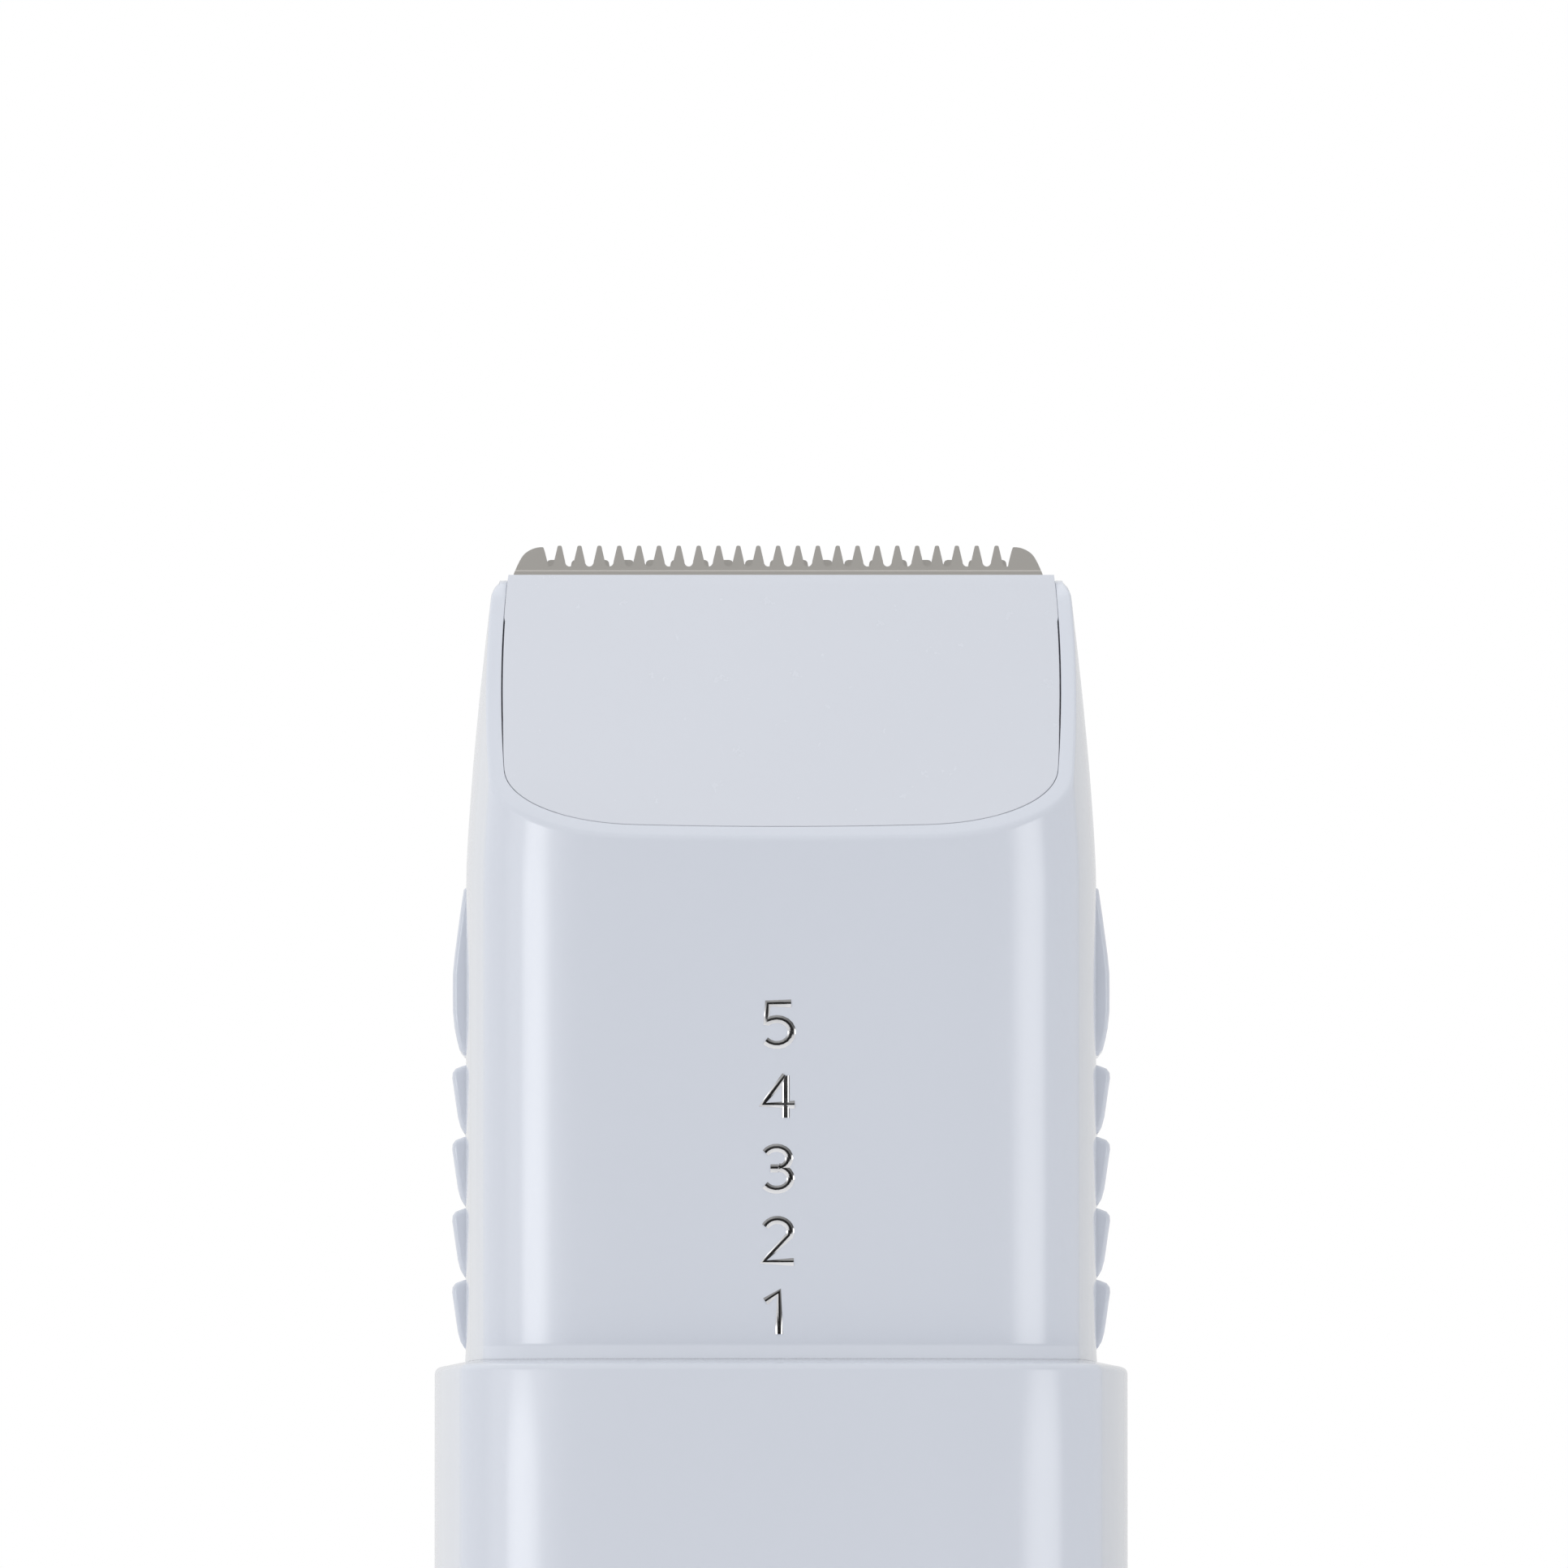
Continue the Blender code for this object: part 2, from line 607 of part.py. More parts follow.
def cell_door(finish):
    slab = loft("cell_door", grip_outside(), finish)
    shape = facing_prism("shape", door_outline(0.0), 0.0, GRIP_DEPTH, finish)
    combine(slab, shape, "INTERSECT")
    across = [DOOR_HALF_WIDTH * 1.1 * (2 * step / 8 - 1) for step in range(9)]
    inside = [(-GRIP_WIDTH, -GRIP_DEPTH), (GRIP_WIDTH, -GRIP_DEPTH), (GRIP_WIDTH, 0)]
    inside += [(-x, inner_back(x)) for x in across] + [(-GRIP_WIDTH, 0)]
    cut(slab, upright_prism("inside", inside, -GRIP_DEPTH, 2 * DOOR_HEIGHT, finish))
    back = door_tongue_back()
    front = back - TONGUE_THICKNESS
    bridge = inner_back(0) + GRIP_WALL / 2
    reach = DOOR_HALF_WIDTH + TONGUE_OUT
    low, high = GRIP_LIFT + 2 * MM, GRIP_LIFT + DOOR_HEIGHT - 2 * DOOR_CORNER
    inside = DOOR_HALF_WIDTH - TONGUE_OUT
    for side in (-1, 1):
        root_x = sorted((side * inside, side * (DOOR_HALF_WIDTH - FIT)))
        root_back = inner_back(inside) + GRIP_WALL / 2
        join(slab, box("root", (root_x[0], front, low), (root_x[1], root_back, high), finish))
        lip_x = sorted((side * inside, side * reach))
        join(slab, box("lip", (lip_x[0], front, low), (lip_x[1], back, high), finish))
    top = GRIP_LIFT + DOOR_HEIGHT
    half = DOOR_HALF_WIDTH / 2
    join(slab, box("catch_root", (-half, front, top - 4 * MM), (half, bridge, top - 1.5 * MM), finish))
    join(slab, box("catch", (-half, front, top - 4 * MM), (half, back, top + TONGUE_OUT), finish))
    foot_low = (-inside, back - 1.5 * TONGUE_THICKNESS, GRIP_LIFT)
    join(slab, box("foot", foot_low, (inside, bridge, GRIP_LIFT + PLATE), finish))
    for rib in range(DOOR_RIBS):
        z = top - 2.5 * DOOR_CORNER - rib * DOOR_RIB_PITCH
        sunk, proud = GRIP_DEPTH / 2 - 0.8 * MM, GRIP_DEPTH / 2 + DOOR_RIB_HEIGHT
        outline = [(sunk, z), (sunk, z - 1.2 * MM), (proud, z - 0.8 * MM), (proud, z - 0.4 * MM)]
        join(slab, side_prism("rib", outline, -half, half, finish))
    return slab


def base_screw_spots():
    """Where the base's two screws go up into the chassis, in front of the cells."""
    x = GRIP_WIDTH / 2 - GRIP_WALL - GRIP_CORNER
    y = -GRIP_DEPTH / 2 + GRIP_WALL + 2 * SCREW_HEAD_RADIUS
    return [(-x, y), (x, y)]


def base_cap(finish):
    levels = ((CAP_FLANGE_INSET + 0.3 * MM, 0.0), (CAP_FLANGE_INSET, 0.3 * MM), (CAP_FLANGE_INSET, CAP_FLANGE))
    levels += ((GRIP_WALL + FIT, CAP_FLANGE), (GRIP_WALL + FIT, CAP_THICKNESS))
    cap = loft("base_cap", [[(x, y, z) for x, y in grip_section(inset)] for inset, z in levels], finish)
    path_half = DOOR_HALF_WIDTH + TONGUE_OUT + FIT
    path_front = door_tongue_back() - 1.5 * TONGUE_THICKNESS - FIT
    cut(cap, box("path", (-path_half, path_front, -MM), (path_half, GRIP_DEPTH, 2 * CAP_THICKNESS), finish))
    for spot in base_screw_spots():
        head = SCREW_HEAD_RADIUS + FIT
        shank = SCREW_RADIUS + FIT
        seat = SCREW_HEAD_HEIGHT + FIT
        profile = [(head, -MM), (head, seat), (shank, seat), (shank, 2 * CAP_THICKNESS)]
        cut(cap, stepped("seat", profile, spot, finish))
    return cap


def stepped(name, profile, centre, finish, segments=24):
    """A solid turned about an upright axis, from its lowest face to its highest."""
    rings = []
    for radius, height in profile:
        angles = [2 * math.pi * i / segments for i in range(segments)]
        rings.append(
            [(centre[0] + radius * math.cos(a), centre[1] + radius * math.sin(a), height) for a in angles]
        )
    return loft(name, rings, finish)


def screw(name, spot, head_z, length, finish):
    """A pan-head screw pointing up, its head lowest, with a cross recess."""
    head, under = SCREW_HEAD_RADIUS, head_z + SCREW_HEAD_HEIGHT
    profile = [(0.75 * head, head_z), (head, head_z + 0.35 * SCREW_HEAD_HEIGHT), (head, under)]
    profile += [(SCREW_RADIUS, under), (SCREW_RADIUS, under + length - SCREW_RADIUS)]
    profile += [(0.2 * SCREW_RADIUS, under + length)]
    made = stepped(name, profile, spot, finish, segments=16)
    wide, narrow, deep = 0.6 * head, 0.13 * head, head_z + 0.45 * SCREW_HEAD_HEIGHT
    for half_x, half_y in ((wide, narrow), (narrow, wide)):
        low = (spot[0] - half_x, spot[1] - half_y, head_z - MM)
        high = (spot[0] + half_x, spot[1] + half_y, deep)
        cut(made, box("recess", low, high, finish))
    return made


# ---------------------------------------------------------------- chassis, cells, switch


def motor_outline(grow):
    """The motor can's outline: a circle with two flats, counter-clockwise."""
    radius, flat = MOTOR_RADIUS + grow, MOTOR_HALF_FLAT + grow
    turn = math.asin(flat / radius)
    points = []
    for side in (0, math.pi):
        for step in range(11):
            angle = side - turn + 2 * turn * step / 10
            points.append((radius * math.cos(angle), radius * math.sin(angle)))
    return points


def cell_spots():
    """Centre of each cell, and whether its nub points up."""
    x = CELL_RADIUS + 1.5 * FIT
    y = SPINE_FRONT + PLATE + CELL_RADIUS + FIT
    return [(-x, y, True), (x, y, False)]


def bay_half_width():
    return 2 * CELL_RADIUS + 1.5 * FIT + FIT


def bay_back():
    return cell_spots()[0][1] + 0.75 * CELL_RADIUS


def chassis(finish):
    half = bay_half_width() + PLATE
    back = bay_back()
    cup_foot = SKIRT_Z - 2 * PLATE
    cup_top = post_foot_z() - FIT
    spine_top = MOTOR_Z - END_BELL_PLATE - 2 * MM
    frame = box("chassis", (-half, SPINE_FRONT, CHASSIS_Z), (half, SPINE_FRONT + PLATE, ROOF_TOP_Z), finish)
    inside = SPINE_FRONT + 0.5 * PLATE
    join(frame, box("floor", (-half, inside, CHASSIS_Z), (half, back, BAY_FLOOR_Z), finish))
    join(frame, box("roof", (-half, inside, BAY_ROOF_Z), (half, back, ROOF_TOP_Z), finish))
    spine_half = MOTOR_RADIUS + CUP_WALL / 2
    spine_low = (-spine_half, SPINE_FRONT, ROOF_TOP_Z - MM)
    join(frame, box("spine", spine_low, (spine_half, SPINE_FRONT + PLATE, spine_top), finish))
    for side in (-1, 1):
        x0, x1 = sorted((side * bay_half_width(), side * half))
        low = (x0, inside, CHASSIS_Z)
        join(frame, box("wall", low, (x1, cell_spots()[0][1], ROOF_TOP_Z), finish))
    cup = upright_prism("cup", motor_outline(SLIP + CUP_WALL), cup_foot, cup_top, finish)
    ear_half = SCREW_RADIUS + 1.2 * MM
    ear_x = neck_screw_x() + SCREW_HEAD_RADIUS - SLIP
    ear_low = cup_top - PLATE
    join(cup, box("ears", (-ear_x, -ear_half, ear_low), (ear_x, ear_half, cup_top), finish))
    cut(cup, upright_prism("bore", motor_outline(SLIP), cup_foot - MM, cup_top + MM, finish))
    join(frame, cup)
    for side in (-1, 1):
        spot = (side * neck_screw_x(), 0)
        head, shank = SCREW_HEAD_RADIUS + SLIP, SCREW_RADIUS + SLIP
        profile = [(head, cup_foot - MM), (head, ear_low), (shank, ear_low), (shank, cup_top + MM)]
        cut(frame, stepped("hole", profile, spot, finish, 20))
    for spot in base_screw_spots():
        x0, x1 = spot[0] - 2.4 * SCREW_RADIUS, spot[0] + 2.4 * SCREW_RADIUS
        lug_top = CHASSIS_Z + BASE_SCREW_LENGTH
        lug = box("lug", (x0, spot[1] - 2 * SCREW_RADIUS, CHASSIS_Z), (x1, inside, lug_top), finish)
        join(frame, lug)
        cut(frame, stepped("hole", disc(SCREW_RADIUS + SLIP, CHASSIS_Z - MM, lug_top + MM), spot, finish, 16))
    return frame


def cell(name, spot, finish):
    """One AA cell: a can with a crimped shoulder and a nub."""
    x, y, upward = spot
    body = CELL_LENGTH - NUB_HEIGHT
    rim = 0.6 * MM
    profile = [(CELL_RADIUS - rim, 0), (CELL_RADIUS, rim), (CELL_RADIUS, body - rim), (CELL_RADIUS - rim, body)]
    profile += [(NUB_RADIUS, body), (NUB_RADIUS, CELL_LENGTH - 0.2 * MM), (NUB_RADIUS - 0.2 * MM, CELL_LENGTH)]
    foot = BAY_FLOOR_Z + CONTACT_STACK
    if upward:
        lift = foot + CELL_SPRING_LENGTH + FIT
        placed = [(radius, lift + height) for radius, height in profile]
    else:
        placed = [(radius, foot + CELL_LENGTH - height) for radius, height in reversed(profile)]
    return stepped(name, placed, (x, y), finish, segments=28)


def cell_spring(name, spot, finish):
    """A conical compression spring, wound by a loop, that presses on a cell's flat end."""
    x, y, upward = spot
    foot = BAY_FLOOR_Z + CONTACT_STACK
    if not upward:
        foot += CELL_LENGTH + FIT
    wire = CELL_SPRING_WIRE / 2
    steps = int(CELL_SPRING_TURNS * 14)
    curve = bpy.data.curves.new(name, "CURVE")
    curve.dimensions = "3D"
    curve.bevel_depth = wire
    curve.bevel_resolution = 1
    curve.use_fill_caps = True
    spline = curve.splines.new("POLY")
    spline.points.add(steps)
    for step in range(steps + 1):
        share = step / steps
        angle = 2 * math.pi * CELL_SPRING_TURNS * share
        wide = share if not upward else 1 - share
        radius = NUB_RADIUS + (0.6 * CELL_RADIUS - NUB_RADIUS) * wide
        z = foot + wire + share * (CELL_SPRING_LENGTH - 2 * wire)
        spline.points[step].co = (x + radius * math.cos(angle), y + radius * math.sin(angle), z, 1)
    curve.materials.append(finish)
    obj = bpy.data.objects.new(name, curve)
    bpy.context.scene.collection.objects.link(obj)
    return obj


def contacts(finish):
    """The sheet-metal contacts: one that links the cells below, and one above each cell."""
    left, right = cell_spots()
    half_y = CONTACT_HALF
    low = BAY_FLOOR_Z + FIT
    top = BAY_ROOF_Z - FIT
    reach = right[0] + CONTACT_HALF
    box("contact_bridge", (-reach, left[1] - half_y, low), (reach, left[1] + half_y, low + CONTACT_SHEET), finish)
    for name, spot in (("contact_positive", left), ("contact_negative", right)):
        x0, x1 = spot[0] - CONTACT_HALF, spot[0] + CONTACT_HALF
        box(name, (x0, spot[1] - half_y, top - CONTACT_SHEET), (x1, spot[1] + half_y, top), finish)


def board_back():
    return SPINE_FRONT - FIT


def switch_parts(plastic, dark, board, metal):
    """The circuit board and its slide switch, with the power slider that moves it from outside."""
    back = board_back()
    front = back - BOARD_THICKNESS
    low, high = pocket_span()
    half = MOTOR_RADIUS - MM
    box("circuit_board", (-half, front, low - 2 * MM), (half, back, high + 2 * MM), board)
    switch_back = front - FIT
    switch_front = switch_back - SWITCH_DEPTH
    travel_low = SLIDER_Z - STEM_LENGTH / 2
    travel_high = SLIDER_Z + STEM_LENGTH / 2 + SLIDER_TRAVEL
    body = box(
        "switch_body",
        (-SWITCH_HALF_WIDTH, switch_front, travel_low - 2 * MM),
        (SWITCH_HALF_WIDTH, switch_back, travel_high + 2 * MM),
        metal,
    )
    track = STEM_HALF_WIDTH
    floor = switch_front + SWITCH_DEPTH / 2
    cut(
        body,
        box("track", (-track, switch_front - MM, travel_low - FIT), (track, floor, travel_high + FIT), metal),
    )
    face = -GRIP_DEPTH / 2
    stem_front = face + POCKET_DEPTH - SLIP
    stem_back = face + GRIP_WALL + FIT
    lever_half = STEM_HALF_WIDTH - FIT
    lever = box(
        "switch_lever",
        (-lever_half, stem_back + FIT, SLIDER_Z - STEM_LENGTH / 2 + FIT),
        (lever_half, floor - FIT, SLIDER_Z + STEM_LENGTH / 2 - FIT),
        dark,
    )
    half = SLIDER_HALF_WIDTH
    outline = rounded_outline(-half, half, SLIDER_Z - SLIDER_LENGTH / 2, SLIDER_Z + SLIDER_LENGTH / 2, 1.7 * MM)
    proud = face - SLIDER_PROUD
    slider = facing_prism("power_slider", outline, proud + 0.4 * MM, stem_front, plastic)
    stem_half = STEM_HALF_WIDTH
    low_z, high_z = SLIDER_Z - STEM_LENGTH / 2, SLIDER_Z + STEM_LENGTH / 2
    join(slider, box("stem", (-stem_half, stem_front - 0.2 * MM, low_z), (stem_half, stem_back, high_z), plastic))
    pitch = (SLIDER_LENGTH - 2 * MM) / SLIDER_RIBS
    for rib in range(SLIDER_RIBS):
        z = SLIDER_Z + (rib - (SLIDER_RIBS - 1) / 2) * pitch
        base = proud + 0.6 * MM
        ridge = [(base, z - 0.55 * MM), (base, z + 0.55 * MM), (proud, z + 0.2 * MM), (proud, z - 0.2 * MM)]
        join(slider, side_prism("ridge", ridge, 0.7 * MM - half, half - 0.7 * MM, plastic))
    on_axis("power_slide", (0, 0, SLIDER_Z), slider, lever)


def wire(name, points, finish):
    """A thin insulated lead through a few points, smoothed into a curve."""
    curve = bpy.data.curves.new(name, "CURVE")
    curve.dimensions = "3D"
    curve.bevel_depth = 0.6 * MM
    curve.bevel_resolution = 1
    curve.use_fill_caps = True
    curve.resolution_u = 5
    spline = curve.splines.new("NURBS")
    spline.points.add(len(points) - 1)
    spline.order_u = 3
    spline.use_endpoint_u = True
    for point, place in zip(spline.points, points):
        point.co = (*place, 1)
    curve.materials.append(finish)
    obj = bpy.data.objects.new(name, curve)
    bpy.context.scene.collection.objects.link(obj)
    return obj


def leads(red, black):
    """From the contacts past the board to the motor's two terminals."""
    side = MOTOR_RADIUS + CUP_WALL + 1.5 * MM
    start_z = ROOF_TOP_Z + MM
    end_z = MOTOR_Z - END_BELL_PLATE - 2.2 * MM
    bend = SKIRT_Z - 4 * PLATE - MM
    terminal = MOTOR_RADIUS / 2
    for name, sign, finish in (("lead_red", -1, red), ("lead_black", 1, black)):
        y = cell_spots()[0][1]
        points = [
            (sign * side * 0.7, y, start_z),
            (sign * side * 0.72, y, start_z + 4 * MM),
            (sign * side * 0.9, y - 3 * MM, (start_z + bend) / 2),
            (sign * side * 0.8, 2.0 * MM, bend - 2 * MM),
            (sign * terminal, 0.5 * MM, bend + MM),
            (sign * terminal, 0, end_z - 2 * MM),
            (sign * terminal, 0, end_z),
        ]
        wire(name, points, finish)


# ---------------------------------------------------------------- motor and drive


def motor(steel, copper, magnet, plastic, brass):
    can = upright_prism("motor_can", motor_outline(0.0), MOTOR_Z, MOTOR_TOP_Z, steel)
    cut(can, upright_prism("inside", motor_outline(-CAN_WALL), MOTOR_Z - MM, MOTOR_TOP_Z - CAN_WALL, steel))
    cut(can, stepped("eye", disc(BUSHING_RADIUS + SLIP, MOTOR_Z, MOTOR_TOP_Z + MM), (0, 0), steel))
    bell_foot, plug_foot = MOTOR_Z - END_BELL_PLATE, MOTOR_Z - END_BELL_PLATE / 2
    bell = upright_prism("motor_end_bell", motor_outline(-SLIP), bell_foot, MOTOR_Z - SLIP, plastic)
    plug_outline = motor_outline(-CAN_WALL - SLIP)
    plug = upright_prism("plug", plug_outline, plug_foot, MOTOR_Z + END_BELL_PLATE, plastic)
    join(bell, plug)
    bore = disc(SHAFT_RADIUS + RUNNING, MOTOR_Z - 2 * MM, MOTOR_Z + 2 * MM)
    cut(bell, stepped("bore", bore, (0, 0), plastic))
    for side, name in ((-1, "terminal_left"), (1, "terminal_right")):
        x = side * MOTOR_RADIUS / 2
        top = MOTOR_Z - END_BELL_PLATE - SLIP
        box(name, (x - MM, -0.2 * MM, top - 1.8 * MM), (x + MM, 0.2 * MM, top), brass)
    tube(
        "motor_bushing",
        SHAFT_RADIUS + RUNNING,
        BUSHING_RADIUS,
        MOTOR_TOP_Z - CAN_WALL,
        CAM_Z - SLIP - CAN_WALL,
        (0, 0),
        brass,
    )
    outer = MOTOR_RADIUS - CAN_WALL - SLIP
    foot = MOTOR_Z + 2 * END_BELL_PLATE + COMMUTATOR_LENGTH
    for side, name in ((0, "magnet_right"), (math.pi, "magnet_left")):
        ring = []
        for radius, turn in ((outer, 1), (outer - MAGNET_WALL, -1)):
            for step in range(9):
                angle = side + turn * MAGNET_HALF_ANGLE * (2 * step / 8 - 1)
                ring.append((radius * math.cos(angle), radius * math.sin(angle)))
        upright_prism(name, ring, foot, foot + ARMATURE_LENGTH, magnet)
    bore = SHAFT_RADIUS + PRESS
    armature = tube("armature", bore, ARMATURE_RADIUS, foot, foot + ARMATURE_LENGTH, (0, 0), copper, 24)
    collar = foot - COMMUTATOR_LENGTH - FIT
    commutator = tube("commutator", bore, COMMUTATOR_RADIUS, collar, foot - FIT, (0, 0), brass, 20)
    shaft_foot = MOTOR_Z - END_BELL_PLATE - 0.8 * MM
    shaft = stepped("motor_shaft", disc(SHAFT_RADIUS, shaft_foot, CAM_TOP_Z - MM), (0, 0), steel, 20)
    on_axis("motor_turn", (0, 0, MOTOR_Z), armature, commutator, shaft, drive_cam(plastic))


def parked_x():
    """Where the cutter stopped, left of the middle, with the eccentric's pin."""
    return -STROKE * math.sin(PARK_ANGLE)


def bridge_foot_z():
    return MOUTH_Z + 0.3 * MM


def drive_cam(finish):
    bore = SHAFT_RADIUS + PRESS
    profile = [(CAM_RADIUS, CAM_Z), (CAM_RADIUS, CAM_TOP_Z - 0.4 * MM), (CAM_RADIUS - 0.4 * MM, CAM_TOP_Z)]
    cam = stepped("drive_cam", profile, (0, 0), finish)
    cut(cam, stepped("bore", disc(bore, CAM_Z - MM, CAM_TOP_Z - MM + PRESS), (0, 0), finish, 20))
    pin_spot = (parked_x(), STROKE * math.cos(PARK_ANGLE))
    top = bridge_foot_z() - 3 * FIT
    profile = [(PIN_RADIUS, CAM_TOP_Z - 0.5 * MM), (PIN_RADIUS, top - 0.2 * MM), (PIN_RADIUS - 0.2 * MM, top)]
    return join(cam, stepped("pin", profile, pin_spot, finish, 16))


# ---------------------------------------------------------------- seals


def seals(rubber):
    """A square ring between the skirt and the sleeve, and a lip seal over the motor's nose."""
    z = (SKIRT_Z + LEDGE_Z - LEDGE_PLATE) / 2
    columns = len(grip_section())
    inner, outer = SKIRT_INSET - SLIP, GRIP_WALL + SLIP
    rings = []
    for height, kind in ((z, "out"), (z + SEAL_THICKNESS, "out"), (z + SEAL_THICKNESS, "in"), (z, "in")):
        if kind == "out":
            rings.append([(x, y, height) for x, y in grip_section(outer)])
        else:
            rings.append(neck_ring([height] * columns, inner))
    loft("neck_seal", rings, rubber, endless=True)
    low = MOTOR_TOP_Z + SLIP
    high = CAM_Z - SLIP - 0.4 * MM
    tube("motor_seal", BUSHING_RADIUS + SLIP, 2 * BUSHING_RADIUS, low, high, (0, 0), rubber)


# ---------------------------------------------------------------- blade block


def slope_point(x, s, t):
    """A point of the block's frame: s up the slope from the panel's top edge, t out of its face."""
    return Vector((x, 0, 0)) + PANEL_TOP + SLOPE_U * s + SLOPE_N * t


def slope_prism(name, outline, low, high, finish):
    """An outline in x and s, counter-clockwise seen from outside, between two depths t."""
    return loft(name, [[slope_point(x, s, t) for x, s in outline] for t in (low, high)], finish)


def slope_box(name, low, high, finish):
    (x0, s0, t0), (x1, s1, t1) = low, high
    return slope_prism(name, [(x0, s0), (x1, s0), (x1, s1), (x0, s1)], t0, t1, finish)


def panel_outline():
    """The panel's outline in x and s: the mouth's own curve, taken in, and cut straight at the top."""
    inset, front_inset = RIM_WIDTH + PANEL_GAP, RIM_FOOT + PANEL_GAP
    points = []
    for column in range(len(neck_section(LEDGE_Z))):
        z = mouth_height(column, inset, 0.0, front_inset)
        x = neck_section(z, inset, front_inset)[column][0]
        points.append((x, (z - PANEL_TOP.z) / math.cos(MOUTH_SLOPE)))
    right = [p for p in points if p[0] > 0]
    right = sorted(right, key=lambda p: p[1])
    right = trimmed(right)
    left = [(-x, s) for x, s in reversed(right)]
    return left + right


def trimmed(side):
    """One side of the outline from its foot up, ended exactly at the panel's top edge."""
    kept = [side[0]]
    for before, after in zip(side, side[1:]):
        if after[1] >= 0:
            share = -before[1] / (after[1] - before[1])
            kept.append((before[0] + share * (after[0] - before[0]), 0.0))
            break
        kept.append(after)
    return kept


def panel_half_width():
    """Half the panel's width at its top edge."""
    return panel_outline()[-1][0]


def blade_half_width():
    return panel_half_width() - WING_SET_IN


def fixed_front():
    return -PANEL_SKIN - SLIP / 2


def fixed_back():
    return fixed_front() - FIXED_THICKNESS


def cutter_front():
    return fixed_back() - SLIP


def cutter_back():
    return cutter_front() - CUTTER_THICKNESS


def blade_panel(finish):
    outline = panel_outline()
    panel = slope_prism("blade_panel", outline, -PANEL_PLATE, 0.0, finish)
    wide = GRIP_WIDTH
    seat_foot = -FIXED_LENGTH - FIT
    pocket = slope_box("pocket", (-wide, seat_foot, -2 * PANEL_PLATE), (wide, MM, -PANEL_SKIN), finish)
    cut(panel, pocket)
    for side in (-1, 1):
        x = side * stake_x()
        pin = ((0.7 * MM, -PANEL_SKIN / 2), (0.7 * MM, fixed_back() - SLIP), (1.2 * MM, fixed_back() - SLIP))
        pin += ((1.2 * MM, fixed_back() - SLIP - 0.5 * MM),)
        join(panel, slope_turned("stake", pin, (x, stake_s()), finish))
    return panel


def stake_x():
    return blade_half_width() - 4.2 * MM


def stake_s():
    return -CUTTER_LENGTH - 2.2 * MM


def slope_turned(name, profile, spot, finish, segments=16):
    """A solid turned about an axis square to the slope, from its outermost face inwards."""
    rings = []
    for radius, depth in reversed(profile):
        angles = [2 * math.pi * i / segments for i in range(segments)]
        rings.append(
            [slope_point(spot[0] + radius * math.cos(a), spot[1] + radius * math.sin(a), depth) for a in angles]
        )
    return loft(name, rings, finish)


def comb_outline(root, tip, pitch, root_width, tip_width, first, count):
    """A toothed edge from left to right, without its end wings."""
    points = []
    for tooth in range(count):
        x = first + tooth * pitch
        points += [
            (x - root_width / 2, root),
            (x - tip_width / 2, tip),
            (x + tip_width / 2, tip),
            (x + root_width / 2, root),
        ]
    return points


def fixed_blade(finish):
    """The toothed comb plate, with a rounded wing outside the last tooth at each end."""
    half = blade_half_width()
    tip, root = FIXED_REACH, FIXED_REACH - FIXED_TOOTH_LENGTH
    count = round(2 * (half - WING_WIDTH) / FIXED_PITCH) - 1
    first = -(count - 1) / 2 * FIXED_PITCH
    teeth = comb_outline(root, tip, FIXED_PITCH, FIXED_ROOT, FIXED_TIP, first, count)
    wing_in = half - WING_WIDTH
    wing = [(wing_in + 0.2 * MM, root), (wing_in, tip - 0.1 * MM)]
    reach = tip - 0.45 * MM
    for step in range(1, 7):
        angle = math.radians(90 - 82 * step / 6)
        x = half - 1.35 * MM + 1.35 * MM * math.cos(angle)
        wing.append((x, 0.45 * MM + (reach - 0.1 * MM) * math.sin(angle)))
    right = wing + [(half, 0.3 * MM)]
    left = [(-x, s) for x, s in reversed(right)]
    top = left + teeth + right
    outline = [(-half, -FIXED_LENGTH), (half, -FIXED_LENGTH)] + top[::-1]
    blade = slope_prism("fixed_blade", outline, fixed_back(), fixed_front(), finish)
    for side in (-1, 1):
        spot = (side * stake_x(), stake_s())
        hole = ((0.7 * MM + SLIP, 0.0), (0.7 * MM + SLIP, 2 * fixed_back()))
        cut(blade, slope_turned("hole", hole, spot, finish))
    return blade


def cutter_count():
    return int(2 * (blade_half_width() - WING_WIDTH) / CUTTER_PITCH)


def moving_blade(finish):
    count = cutter_count()
    first = -(count - 1) / 2 * CUTTER_PITCH + parked_x()
    root, tip = CUTTER_REACH - CUTTER_TOOTH_LENGTH, CUTTER_REACH
    teeth = comb_outline(root, tip, CUTTER_PITCH, CUTTER_ROOT, CUTTER_TIP, first, count)
    left, right = teeth[0][0] - 0.2 * MM, teeth[-1][0] + 0.2 * MM
    outline = [(left, -CUTTER_LENGTH), (right, -CUTTER_LENGTH), (right, root), *teeth[::-1], (left, root)]
    return slope_prism("moving_blade", outline, cutter_back(), cutter_front(), finish)


